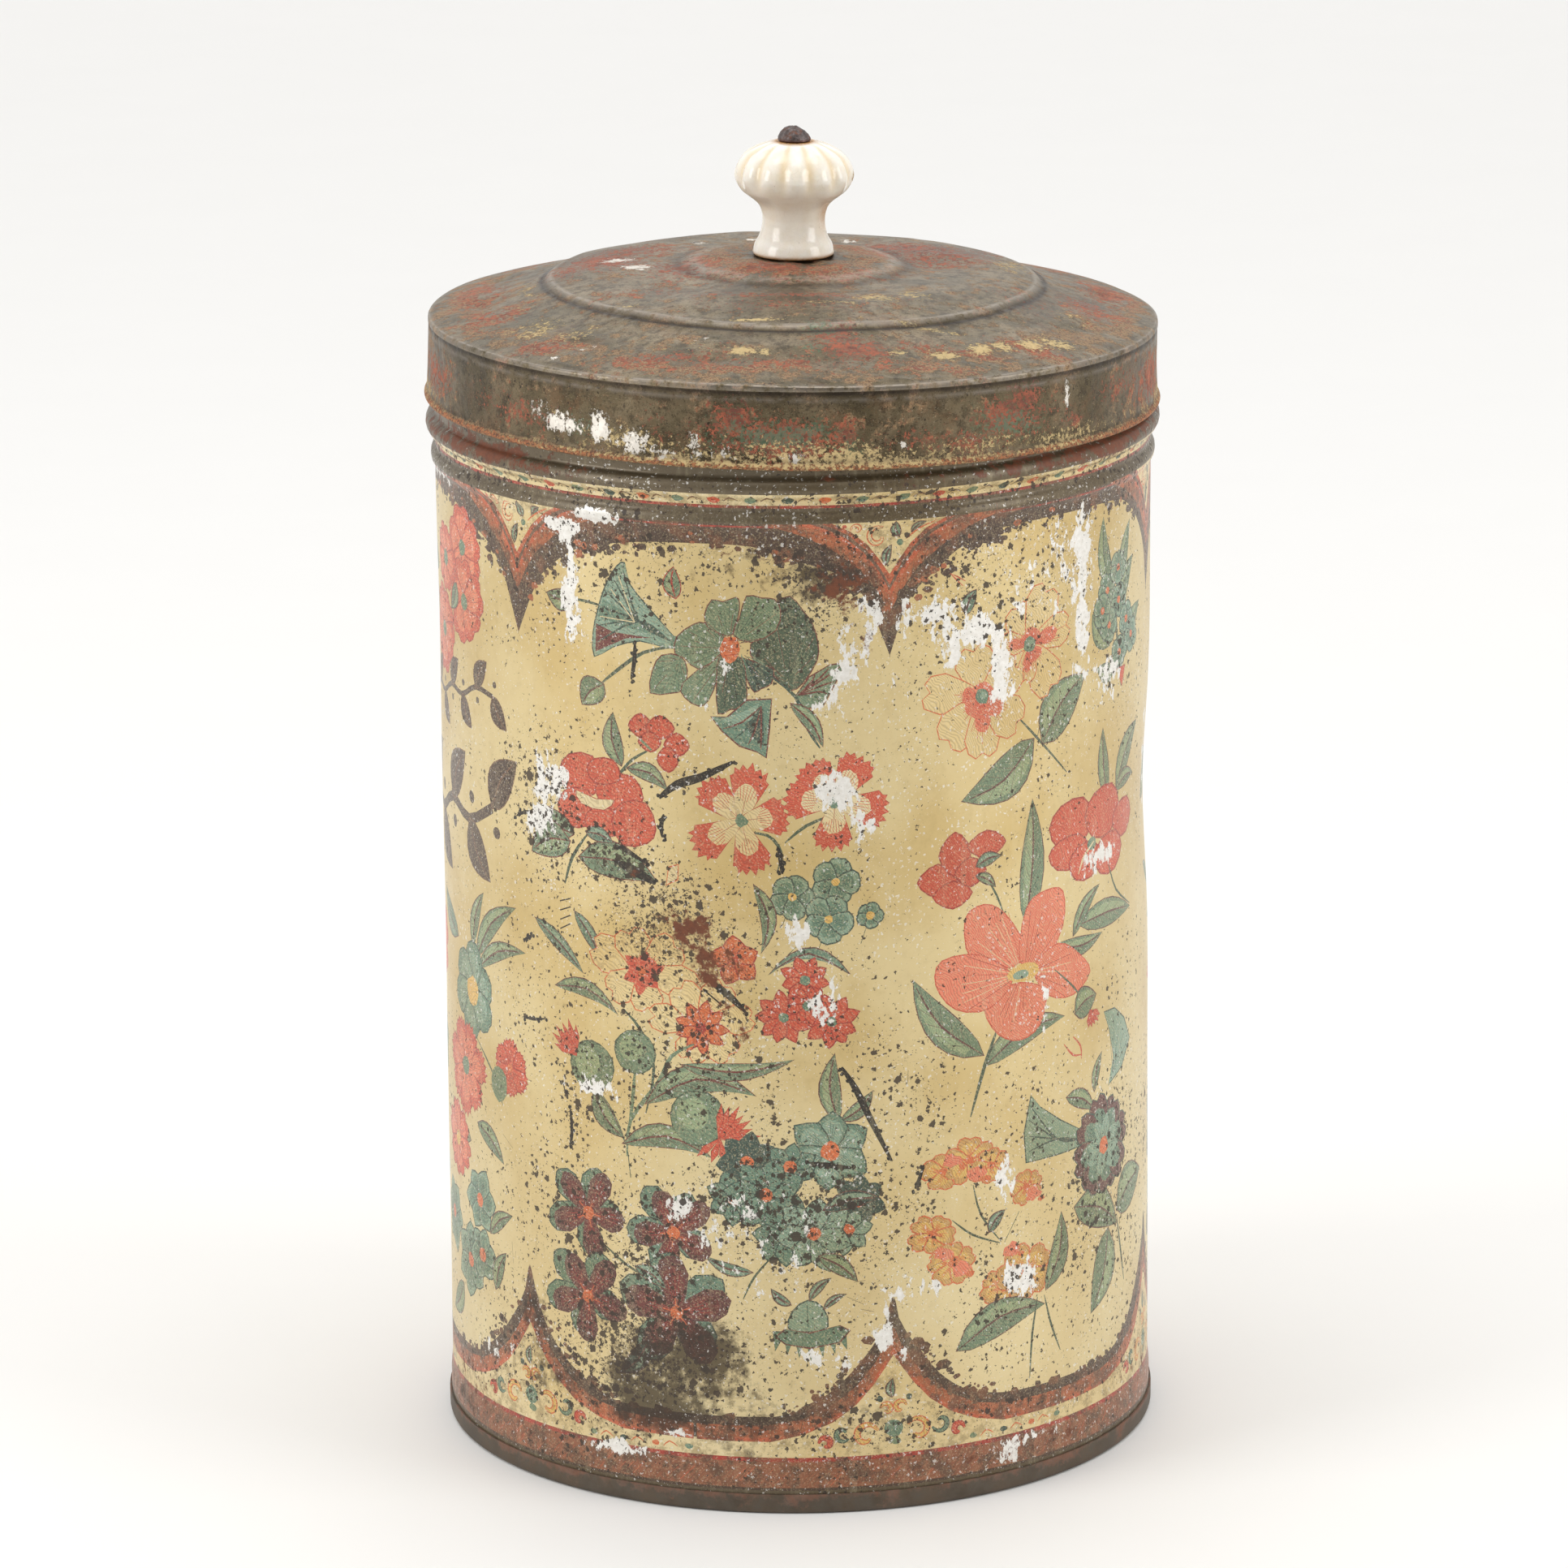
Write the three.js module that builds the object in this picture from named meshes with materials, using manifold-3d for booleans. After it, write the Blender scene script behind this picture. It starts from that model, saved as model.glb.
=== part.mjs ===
// A round tinplate canister with a lift-off lid and a fluted china knob.
// Millimetres, +Z up. The origin is the centre of the flat underside.
import * as THREE from 'three';
import { mergeVertices } from 'three/addons/utils/BufferGeometryUtils.js';
import Module from 'manifold-3d';

// ---------------------------------------------------------------- driving dimensions

const SHEET = 0.4; // thickness of the tinplate
const FIT = 0.05; // air left between pieces that are soldered or stacked
const SIDES = 48; // flats round each sheet-metal piece, all turned the same way

// canister
const WALL_R = 76.2; // a 6 inch body
const FOOT_R = 76.55; // the wall is swaged out where it enters the base cap
const FOOT_TOP = 8.6;
const SWAGE_TOP = 12.6;
const CAP_R = 77.0; // base cap, outside its flange
const CAP_HEIGHT = 4.2;
const CAP_CORNER = 0.9;
const BEAD_LOW = { z: 213.5, radius: 2.4, proud: 0.9 };
const BEAD_HIGH = { z: 220.4, radius: 2.3, proud: 1.9 };
const NECK_TOP = 239.5;
const NECK_ROLL = 0.75; // radius of the rolled edge at the neck's top

// lid
const SKIRT_TOP_R = 77.0;
const SKIRT_LOW_R = 77.7;
const HEM_R = 78.25; // the skirt's lower edge curls outwards
const HEM_Z = 224.2;
const HEM_CURL = 1.5;
const RIM_R = 77.45; // the dome's edge is turned down over the skirt
const RIM_Z = 241.8;
const RIM_TURN_DOWN = 1.9;
const RIDGE_R = 51.8; // a raised ring pressed into the dome
const RIDGE_Z = 249.7;
const HUMP_R = 37;
const HUMP_Z = 252.1;
const DISH_R = 23.5; // step up to the seat under the knob
const DISH_Z = 252.7;
const SEAT_Z = 254.4;

// knob and its fixing
const KNOB_FOOT_R = 8.64;
const KNOB_WAIST_R = 6.64;
const KNOB_HEAD_R = 12.7;
const KNOB_HEIGHT = 24.2;
const FLUTES = 13;
const FLUTE_DEPTH = 0.05; // as a share of the radius
const FLUTE_PHASE = 16.2; // degrees from the front to a groove
const BOLT_R = 2.0;
const BOLT_HOLE_R = 2.35;
const BOLT_HEAD_R = 3.5;
const BOLT_HEAD_HEIGHT = 3.1;
const BOLT_TAIL = 7.6; // length below the seat
const WASHER = { r: 7.0, thickness: 0.8 };
const NUT = { acrossFlats: 8.0, thickness: 3.2 };

// solder
const BASE_FILLET = 1.7;
const LID_FILLET = 1.1;
const SEAM_WIDTH = 6.0;
const SEAM_THICKNESS = 0.3;

// ---------------------------------------------------------------- helpers

const deg = THREE.MathUtils.degToRad;
const point = (r, z) => new THREE.Vector2(r, z);

// Points on a circle in the (radius, height) plane, from one angle to another.
function arc(r, z, radius, fromDeg, toDeg, steps) {
  const points = [];
  for (let i = 0; i <= steps; i += 1) {
    const angle = deg(fromDeg + ((toDeg - fromDeg) * i) / steps);
    points.push(point(r + radius * Math.cos(angle), z + radius * Math.sin(angle)));
  }
  return points;
}

// A rounded bead that stands proud of a wall, listed from its foot to its top.
function bead(wallR, { z, radius, proud }, steps) {
  const reach = THREE.MathUtils.radToDeg(Math.acos(1 - proud / radius));
  return arc(wallR + proud - radius, z, radius, -reach, reach, steps);
}

// The line a sheet's thickness away, on the left of a line's direction of travel.
function offsetLeft(line, distance) {
  return line.map((here, i) => {
    const before = line[Math.max(i - 1, 0)];
    const after = line[Math.min(i + 1, line.length - 1)];
    const into = here.clone().sub(before).normalize();
    const out = after.clone().sub(here).normalize();
    const along = into.add(out).normalize();
    const segment = after.clone().sub(here).length() > 0 ? out : here.clone().sub(before);
    const cosine = Math.max(along.dot(segment.normalize()), 0.5);
    const left = point(-along.y, along.x);
    return here.clone().addScaledVector(left, distance / cosine);
  });
}

// The profile of a pressed sheet whose outer face lies on the right of the line.
function sheetProfile(outerLine) {
  return [...outerLine, ...offsetLeft(outerLine, SHEET).reverse()];
}

// A solid of revolution about +Z; profiles off the axis are closed on themselves.
function turned(profile, sides = SIDES) {
  const first = profile[0];
  const last = profile[profile.length - 1];
  const closed = first.x < 1e-9 && last.x < 1e-9 ? profile : [...profile, first.clone()];
  const geometry = new THREE.LatheGeometry(closed, sides);
  geometry.rotateX(Math.PI / 2);
  return geometry;
}

function finish(color, roughness, metalness) {
  return new THREE.MeshStandardMaterial({ color, roughness, metalness });
}

function node(name, geometry, material) {
  const mesh = new THREE.Mesh(geometry, material);
  mesh.name = name;
  return mesh;
}

// ---------------------------------------------------------------- canister

function bodyWall() {
  return turned(
    sheetProfile([
      point(FOOT_R, CAP_CORNER + FIT),
      point(FOOT_R, FOOT_TOP),
      point(WALL_R, SWAGE_TOP),
      ...bead(WALL_R, BEAD_LOW, 5),
      ...bead(WALL_R, BEAD_HIGH, 6),
      ...arc(WALL_R - NECK_ROLL, NECK_TOP - NECK_ROLL, NECK_ROLL, 0, 180, 4),
    ]),
  );
}

// Pressed disc with a flange that stands up round the foot of the wall.
function baseCap() {
  return turned(
    sheetProfile([
      point(0, 0),
      ...arc(CAP_R - CAP_CORNER, CAP_CORNER, CAP_CORNER, -90, 0, 3),
      point(CAP_R, CAP_HEIGHT),
    ]),
  );
}

// Fillet of solder in the corner between the wall and the base.
function baseSolderRing() {
  const r = FOOT_R - SHEET - FIT;
  const z = SHEET + FIT;
  return turned([point(r - BASE_FILLET, z), point(r, z), point(r, z + BASE_FILLET)]);
}

// Strip of solder up the inside of the side seam, flat against one flat of the wall.
function sideSeamSolder() {
  const bottom = SHEET + 2 * FIT + BASE_FILLET;
  const top = NECK_TOP - 2 * NECK_ROLL - FIT;
  const flat = Math.PI / SIDES;
  const reach = (WALL_R - SHEET) * Math.cos(flat) - FIT - SEAM_THICKNESS / 2;
  const geometry = new THREE.BoxGeometry(SEAM_WIDTH, SEAM_THICKNESS, top - bottom);
  geometry.translate(0, reach, (top + bottom) / 2);
  geometry.rotateZ(flat);
  return geometry;
}

// ---------------------------------------------------------------- lid

function lidDome() {
  return turned(
    sheetProfile([
      point(RIM_R, RIM_Z - RIM_TURN_DOWN),
      point(RIM_R, RIM_Z - 0.5),
      point(RIM_R - 0.5, RIM_Z),
      point(64, 245.3),
      point(RIDGE_R + 1.2, RIDGE_Z - 1.3),
      point(RIDGE_R, RIDGE_Z),
      point(RIDGE_R - 1.6, RIDGE_Z + 0.2),
      point(44, 251.4),
      point(HUMP_R, HUMP_Z),
      point(DISH_R + 2, HUMP_Z + 0.2),
      point(DISH_R, DISH_Z),
      point(DISH_R - 3, SEAT_Z - 0.8),
      point(14, SEAT_Z),
      point(BOLT_HOLE_R, SEAT_Z),
    ]),
  );
}

// Band that slides over the neck, with its lower edge curled outwards.
function lidSkirt() {
  return turned(
    sheetProfile([
      ...arc(SKIRT_LOW_R - 0.2, HEM_Z + HEM_CURL / 2, HEM_R - SKIRT_LOW_R + 0.2, -60, 40, 3),
      point(SKIRT_LOW_R, HEM_Z + HEM_CURL + 0.4),
      point(SKIRT_TOP_R, RIM_Z - RIM_TURN_DOWN - 0.3),
      point(SKIRT_TOP_R, RIM_Z - SHEET - 0.7),
    ]),
  );
}

// Fillet of solder where the skirt meets the underside of the dome.
function lidSolderRing() {
  const r = SKIRT_TOP_R - SHEET - FIT;
  const z = RIM_Z - SHEET - 0.7;
  return turned([point(r, z - LID_FILLET), point(r, z), point(r - LID_FILLET, z)]);
}

// ---------------------------------------------------------------- knob and its fixing

// Outline of the china knob, from the foot up to the bolt hole, above its own foot.
function knobOutline() {
  const waistToHead = new THREE.SplineCurve([
    point(KNOB_FOOT_R, 0.6),
    point(7.3, 4.0),
    point(KNOB_WAIST_R, 7.5),
    point(7.1, 10.0),
    point(9.6, 12.7),
    point(12.1, 15.4),
    point(KNOB_HEAD_R, 17.3),
    point(12.0, 19.6),
    point(9.8, 22.1),
    point(6.2, KNOB_HEIGHT - 0.5),
  ]);
  return [
    point(BOLT_HOLE_R, 0),
    point(KNOB_FOOT_R - 0.5, 0),
    ...waistToHead.getPoints(18),
    point(BOLT_HOLE_R, KNOB_HEIGHT),
  ];
}

// Thirteen grooves run down the head and fade out below its widest point.
function knob() {
  const geometry = turned(knobOutline(), FLUTES * 4);
  const place = geometry.getAttribute('position');
  for (let i = 0; i < place.count; i += 1) {
    const x = place.getX(i);
    const y = place.getY(i);
    const z = place.getZ(i);
    const r = Math.hypot(x, y);
    const along = THREE.MathUtils.smoothstep(z, 13, 17);
    const rim = THREE.MathUtils.smoothstep(r, BOLT_HOLE_R + 1, 7);
    const turn = Math.atan2(x, -y) - deg(FLUTE_PHASE);
    const groove = (1 + Math.cos(FLUTES * turn)) / 2;
    const scale = 1 - FLUTE_DEPTH * along * rim * groove;
    place.setXY(i, x * scale, y * scale);
  }
  geometry.translate(0, 0, SEAT_Z + FIT);
  return geometry;
}

// Through bolt with a low domed head, on top of the knob.
function knobBolt() {
  const headZ = SEAT_Z + KNOB_HEIGHT + 2 * FIT;
  const tip = SEAT_Z - BOLT_TAIL;
  return turned(
    [
      point(0, tip),
      point(BOLT_R - 0.4, tip),
      point(BOLT_R, tip + 0.4),
      point(BOLT_R, headZ),
      point(BOLT_HEAD_R, headZ),
      point(BOLT_HEAD_R, headZ + 0.9),
      point(2.5, headZ + 2.2),
      point(1.1, headZ + BOLT_HEAD_HEIGHT - 0.2),
      point(0, headZ + BOLT_HEAD_HEIGHT),
    ],
    24,
  );
}

function knobWasher() {
  const top = SEAT_Z - SHEET - FIT;
  const bottom = top - WASHER.thickness;
  return turned(
    [
      point(BOLT_HOLE_R, bottom),
      point(WASHER.r, bottom),
      point(WASHER.r, top),
      point(BOLT_HOLE_R, top),
    ],
    24,
  );
}

function solidOf(wasm, geometry) {
  const bare = geometry.clone();
  bare.deleteAttribute('normal');
  bare.deleteAttribute('uv');
  const merged = mergeVertices(bare, 1e-5);
  const mesh = new wasm.Mesh({
    numProp: 3,
    vertProperties: Float32Array.from(merged.getAttribute('position').array),
    triVerts: Uint32Array.from(merged.getIndex().array),
  });
  return new wasm.Manifold(mesh);
}

function geometryOf(solid) {
  const mesh = solid.getMesh();
  const geometry = new THREE.BufferGeometry();
  geometry.setAttribute('position', new THREE.BufferAttribute(mesh.vertProperties, 3));
  geometry.setIndex(new THREE.BufferAttribute(mesh.triVerts, 1));
  return geometry;
}

// Square nut with a round hole, below the washer.
function knobNut(wasm) {
  const top = SEAT_Z - SHEET - WASHER.thickness - 2 * FIT;
  const block = new THREE.BoxGeometry(NUT.acrossFlats, NUT.acrossFlats, NUT.thickness);
  const hole = new THREE.CylinderGeometry(BOLT_R + 0.1, BOLT_R + 0.1, NUT.thickness + 2, 24);
  hole.rotateX(Math.PI / 2);
  const geometry = geometryOf(solidOf(wasm, block).subtract(solidOf(wasm, hole)));
  geometry.translate(0, 0, top - NUT.thickness / 2);
  return geometry;
}

// ---------------------------------------------------------------- assembly

const wasm = await Module();
wasm.setup();

const printedTin = finish(0xb09766, 0.42, 0.35);
const bareTin = finish(0x8d8a80, 0.4, 0.85);
const agedTin = finish(0x7c6f5e, 0.45, 0.5);
const solder = finish(0x9a9a98, 0.35, 0.9);
const china = finish(0xe9dfc9, 0.12, 0.0);
const iron = finish(0x4b4343, 0.6, 0.7);

const canister = new THREE.Group();
canister.add(node('body_wall', bodyWall(), printedTin));
canister.add(node('base_cap', baseCap(), bareTin));
canister.add(node('base_solder_ring', baseSolderRing(), solder.clone()));
canister.add(node('side_seam_solder', sideSeamSolder(), solder.clone()));

const lid = new THREE.Group();
lid.add(node('lid_dome', lidDome(), agedTin.clone()));
lid.add(node('lid_skirt', lidSkirt(), agedTin.clone()));
lid.add(node('lid_solder_ring', lidSolderRing(), solder.clone()));
lid.add(node('knob', knob(), china));
lid.add(node('knob_bolt', knobBolt(), iron.clone()));
lid.add(node('knob_washer', knobWasher(), iron.clone()));
lid.add(node('knob_nut', knobNut(wasm), iron.clone()));

const group = new THREE.Group();
group.add(canister, lid);

export default group;
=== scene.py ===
"""A lithographed tin with a lift-off lid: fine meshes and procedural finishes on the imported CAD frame."""
import math
import random

import bmesh
import bpy
import numpy as np
from mathutils import Matrix, Vector
from mathutils.bvhtree import BVHTree
from mathutils.geometry import delaunay_2d_cdt


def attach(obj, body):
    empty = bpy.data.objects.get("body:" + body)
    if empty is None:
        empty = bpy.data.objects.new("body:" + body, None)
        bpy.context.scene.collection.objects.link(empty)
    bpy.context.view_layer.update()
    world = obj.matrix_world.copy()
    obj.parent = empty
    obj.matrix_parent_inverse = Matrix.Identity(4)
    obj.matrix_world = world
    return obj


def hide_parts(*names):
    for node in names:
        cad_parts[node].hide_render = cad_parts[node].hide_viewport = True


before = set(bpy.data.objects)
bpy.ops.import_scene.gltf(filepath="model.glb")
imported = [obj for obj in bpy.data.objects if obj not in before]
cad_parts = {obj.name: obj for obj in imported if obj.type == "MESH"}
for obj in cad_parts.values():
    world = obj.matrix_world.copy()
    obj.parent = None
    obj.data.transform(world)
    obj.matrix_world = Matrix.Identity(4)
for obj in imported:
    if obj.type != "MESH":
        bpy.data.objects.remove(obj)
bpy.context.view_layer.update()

random.seed(7)
MM = 0.001
WALL_R = 76.2
WALL_LOW = 0.95
WALL_TOP = 238.75
SHEET = 0.4  # thickness of the tinplate
BORE = 2.35  # radius of the screw's hole
CUSPS = [-168.8, -112.3, -48.9, 14.8, 78.2, 134.7, 191.2]  # degrees round from the front
COLUMNS = 96  # strips round the wall
FINEST = 0.42  # strokes under this width are left out at the back
STRAIGHT = 0.02  # points this close to a straight run are dropped
FRONT_PANELS = (1, 2, 3)
FRONT_CUSPS = (1, 2, 3, 4)
LID_TILT = math.radians(0.9)
LID_PIVOT_Z = 226.0
LID_LIFT = 0.3
LENS = 175.3
CAMERA_PLACE = (-2.49, -1593.1, 553.7)
CAMERA_DIP = 14.6  # degrees below level
CAMERA_ROLL = -0.0085

INK = {
    "ground": (216, 196, 146), "cream": (226, 208, 162), "dark": (80, 60, 46), "umber": (116, 80, 56),
    "brick": (148, 92, 64),
    "rust": (176, 100, 64), "orange": (196, 98, 64), "stripe": (122, 92, 74), "grey": (100, 88, 68),
    "teal": (106, 136, 114), "teal_light": (138, 164, 142), "teal_dark": (64, 84, 72),
    "green": (116, 138, 108), "green_light": (150, 168, 128), "green_dark": (78, 94, 72),
    "maroon": (116, 56, 48), "plum": (104, 62, 56), "red": (208, 88, 60), "red_light": (230, 130, 98),
    "red_dark": (170, 58, 44), "flame": (216, 112, 62), "yellow": (224, 184, 100), "gold": (206, 160, 92),
    "pale": (228, 204, 146),
    "black": (44, 38, 32), "rim": (110, 94, 74),
}


def linear(rgb):
    return tuple(((c / 255 + 0.055) / 1.055) ** 2.4 if c > 10 else c / 3294.6 for c in rgb)


def across(*angles):
    """Distances round the wall from the front, for angles in degrees."""
    return [WALL_R * math.radians(a) for a in angles]


# ---------------------------------------------------------------- flat shapes

def arc(cx, cy, r, start, end, steps):
    angles = [math.radians(start + (end - start) * i / steps) for i in range(steps + 1)]
    return [(cx + r * math.cos(a), cy + r * math.sin(a)) for a in angles]


def spline(four, t):
    """The point at t between the middle two of four points."""
    return tuple(0.5 * (2 * q + (r - p) * t + (2 * p - 5 * q + 4 * r - s) * t * t
                        + (3 * q - p - 3 * r + s) * t ** 3) for p, q, r, s in zip(*four))


def curve(points, steps=4):
    """A smooth line through the points."""
    if len(points) < 3:
        return list(points)
    ends = [points[0]] + list(points) + [points[-1]]
    out = []
    for four in zip(ends, ends[1:], ends[2:], ends[3:]):
        out += [spline(four, i / steps) for i in range(steps)]
    return out + [tuple(points[-1])]


def loop_curve(points, steps=3):
    """A smooth closed line through the points."""
    n = len(points)
    out = []
    for k in range(n):
        four = points[k - 1], points[k], points[(k + 1) % n], points[(k + 2) % n]
        out += [spline(four, i / steps) for i in range(steps)]
    return out


def grown(points, by):
    """The outline pushed out by a few tenths of a millimetre."""
    cx = sum(p[0] for p in points) / len(points)
    cy = sum(p[1] for p in points) / len(points)
    out = []
    for x, y in points:
        d = math.hypot(x - cx, y - cy) or 1
        out.append((x + (x - cx) / d * by, y + (y - cy) / d * by))
    return out


# Half of each kind of petal: how far out, and how far to the side.
PETALS = {
    "point": [(0, 0.12), (0.3, 0.36), (0.6, 0.5), (0.85, 0.28), (1.03, 0)],
    "notch": [(0, 0.14), (0.35, 0.36), (0.7, 0.52), (0.95, 0.42), (1.04, 0.2), (0.93, 0)],
    "jag": [(0, 0.12), (0.45, 0.34), (0.8, 0.52), (0.86, 0.42), (0.98, 0.44), (0.93, 0.3), (1.06, 0.24),
            (0.97, 0.1), (1.1, 0)],
    "round": [(0, 0.16), (0.3, 0.36), (0.65, 0.5), (0.9, 0.36), (1.0, 0.14), (1.01, 0)],
}


class Print:
    """Coloured shapes on the rolled-out wall, u round from the front and z up, in mm; later ones lie on top."""

    def __init__(self):
        self.points, self.loops, self.inks, self.kinds = [], [], [], []
        self.move = (0.0, 0.0, 1.0)
        self.engraved = True

    def place(self, source, target):
        """Draws a panel's design, made between two cusps, between two others."""
        a, b = across(*source)
        c, d = across(*target)
        self.move = ((a + b) / 2, (c + d) / 2, (d - c) / (b - a))

    def shape(self, points, ink, kind=1.0):
        a, b, k = self.move
        pts = [((u - a) * k + b, z) for u, z in points]
        area = sum(p[0] * q[1] - q[0] * p[1] for p, q in zip(pts, pts[1:] + pts[:1]))
        if abs(area) < 0.01:
            return
        first = len(self.points)
        self.points += pts if area > 0 else pts[::-1]
        self.loops.append(list(range(first, len(self.points))))
        self.inks.append(linear(INK[ink]))
        self.kinds.append(kind)

    def outlined(self, points, ink, line="maroon", width=0.35):
        self.shape(grown(points, width), line)
        self.shape(points, ink)

    def stroke(self, points, width, ink, taper=True, kind=1.0):
        """A line drawn with a pen; the finest are left out where the print isn't engraved."""
        if width < FINEST and not self.engraved:
            return
        pts = curve(points, 2 if width < FINEST else 3)
        left, right = [], []
        for i, (x, y) in enumerate(pts):
            a, b = pts[max(i - 1, 0)], pts[min(i + 1, len(pts) - 1)]
            dx, dy = b[0] - a[0], b[1] - a[1]
            d = math.hypot(dx, dy) or 1
            t = i / (len(pts) - 1)
            w = width / 2 * ((0.35 + 1.3 * math.sin(math.pi * t) * 0.5) if taper else 1)
            left.append((x - dy / d * w, y + dx / d * w))
            right.append((x + dy / d * w, y - dx / d * w))
        self.shape(left + right[::-1], ink, kind)

    def blob(self, x, y, rx, ry, ink, wobble=0.1, n=12, kind=1.0):
        pts = []
        for i in range(n):
            a = 2 * math.pi * i / n
            k = 1 + random.uniform(-wobble, wobble)
            pts.append((x + rx * k * math.cos(a), y + ry * k * math.sin(a)))
        self.shape(pts, ink, kind)

    def leaf(self, x0, y0, x1, y1, width, ink="green", bend=0.12, line="plum", veins=4):
        dx, dy = x1 - x0, y1 - y0
        length = math.hypot(dx, dy)
        tx, ty = dx / length, dy / length

        def at(t, side):
            b = bend * length * 4 * t * (1 - t)
            w = width / 2 * math.sin(math.pi * t ** 0.8) ** 0.85 * side if 0 < t < 1 else 0
            return (x0 + dx * t - ty * (b + w), y0 + dy * t + tx * (b + w))
        steps = [i / 7 for i in range(8)]
        outline = [at(t, 1) for t in steps] + [at(t, -1) for t in steps[-2:0:-1]]
        self.shape(grown(outline, 0.3), line)
        self.shape(outline, ink)
        light = "teal_light" if ink.startswith("teal") else "green_light"
        half = [at(t, 0.05) for t in steps[1:-1]] + [at(t, 0.72) for t in steps[-2:0:-1]]
        if ink != "dark":
            self.shape(half, light)
        shade = "teal_dark" if ink.startswith("teal") else "green_dark"
        for k in range(5 if width > 2.5 and ink != "dark" else 0):
            t = 0.14 + 0.13 * k
            self.stroke([at(t, -0.12), at(min(t + 0.18, 0.96), -0.82)], 0.26, shade)
        self.stroke([at(t, 0) for t in (0.0, 0.5, 0.93)], 0.45, line)
        for k in range(veins):
            t = 0.2 + 0.55 * k / max(veins - 1, 1)
            for side in (0.75, -0.75):
                self.stroke([at(t, 0), at(min(t + 0.16, 0.95), side)], 0.25, line)

    def petal(self, x, y, angle, inner, outer, width, tip):
        a = math.radians(angle)
        c, s = math.cos(a), math.sin(a)
        length = outer - inner
        form = PETALS[tip]
        out = []
        for t, w in form + [(t, -w) for t, w in form[-2::-1]]:
            r = inner + length * t * random.uniform(0.97, 1.03)
            out.append((x + c * r - s * w * width, y + s * r + c * w * width))
        return out

    def flower(self, x, y, r, petals, ink, edge=None, line=None, tip="round", turn=0, heart="yellow",
               heart_r=1.6, width=1.0, rays=3, ray_ink=None, squash=1.0):
        """Petals round a heart, each with its edge, its fill and a few hatched rays."""
        span = 2 * math.pi * r * 0.72 / petals * width
        for k in range(petals):
            angle = turn + 360 * k / petals + random.uniform(-5, 5)
            long = r * random.uniform(0.92, 1.06)
            outline = self.petal(x, y, angle, 0.4, long, span, tip)
            outline = [(px, y + (py - y) * squash) for px, py in outline]
            if line:
                self.shape(grown(outline, 0.35), line)
            self.shape(outline, edge or ink)
            if edge:
                core = self.petal(x, y, angle, 0.4, long * 0.8, span * 0.74, "round")
                self.shape([(px, y + (py - y) * squash) for px, py in core], ink)
            lines = rays + 2 if rays and r > 4 else rays
            for j in range(lines):
                a = math.radians(angle + (j - (lines - 1) / 2) * 150 / petals / max(lines, 1))
                far = long * random.uniform(0.4, 0.85)
                start = (x + 1.2 * math.cos(a), y + 1.2 * math.sin(a) * squash)
                self.stroke([start, (x + far * math.cos(a), y + far * math.sin(a) * squash)],
                            0.3, ray_ink or line or "maroon")
        if heart_r:
            self.blob(x, y, heart_r, heart_r * squash, heart)

    def tuft(self, x, y, angle, length, ink="red", count=6):
        """A brush of thin pointed petals."""
        for k in range(count):
            a = math.radians(angle + (k - (count - 1) / 2) * 90 / count)
            r = length * random.uniform(0.8, 1.1)
            tip = (x + r * math.cos(a), y + r * math.sin(a))
            side = (-math.sin(a) * 0.7, math.cos(a) * 0.7)
            mid = (x + r * 0.6 * math.cos(a), y + r * 0.6 * math.sin(a))
            self.outlined([(x, y), (mid[0] - side[0], mid[1] - side[1]), tip,
                           (mid[0] + side[0], mid[1] + side[1])], ink, "red_dark", 0.2)

    def scroll(self, x, y, r, ink, line="orange", turn=0, way=1, width=0.9):
        """A comma that curls into itself."""
        pts = []
        for i in range(8):
            t = i / 7
            a = math.radians(turn + way * 300 * t)
            pts.append((x + r * (1 - 0.6 * t) * math.cos(a), y + r * (1 - 0.6 * t) * math.sin(a)))
        self.stroke(pts, width + 0.4, line)
        self.stroke(pts, width * 0.75, ink)


# ---------------------------------------------------------------- borders

TOP_EDGE = {"centre": [(0, 185), (0.03, 190), (0.055, 194), (0.09, 198.5), (0.14, 202), (0.2, 205),
    (0.26, 206.5), (0.36, 208), (0.48, 208.7), (0.66, 208.5), (0.77, 205.5), (0.86, 203), (0.91, 200),
    (0.945, 196.5), (0.97, 191.5), (1, 185)],
    "right": [(0, 185), (0.02, 190), (0.04, 195), (0.075, 199), (0.12, 202), (0.18, 206), (0.265, 208),
    (0.36, 209.5), (0.72, 209), (0.835, 206), (0.92, 200), (0.97, 194), (1, 185)]}
LOW_EDGE = {"centre": [(0, 46), (0.02, 42), (0.045, 37), (0.075, 33), (0.12, 29), (0.17, 26),
    (0.23, 23.5), (0.32, 21.3), (0.7, 21.3), (0.77, 23.5), (0.83, 26), (0.885, 30), (0.945, 36),
    (0.98, 41), (1, 46)], "right": [(0, 46), (0.015, 42), (0.04, 38), (0.075, 34), (0.12, 29),
    (0.18, 25), (0.24, 23), (0.36, 21.5), (0.66, 21.5), (0.78, 24), (0.86, 29), (0.93, 36), (0.98, 42),
    (1, 46)]}
TOP_STACK = [("rust", [(0, 194), (2.5, 198.5), (6, 203), (11, 207), (17, 210.3), (26, 213.3)]),
             ("orange", [(0, 197), (2.5, 201.5), (6, 206), (10, 209.5), (15, 212), (19, 213.3)]),
             ("stripe", [(0, 198.6), (2.2, 202.6), (5.4, 206.8), (9.2, 210), (14, 212.4), (16.5, 213.3)]),
             ("orange", [(0, 199.8), (2, 203.4), (5, 207.4), (8.6, 210.6), (14, 213.3)]),
             ("cream", [(0, 202), (2, 205), (4.6, 208.4), (8, 211.2), (12, 213.3)])]
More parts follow.
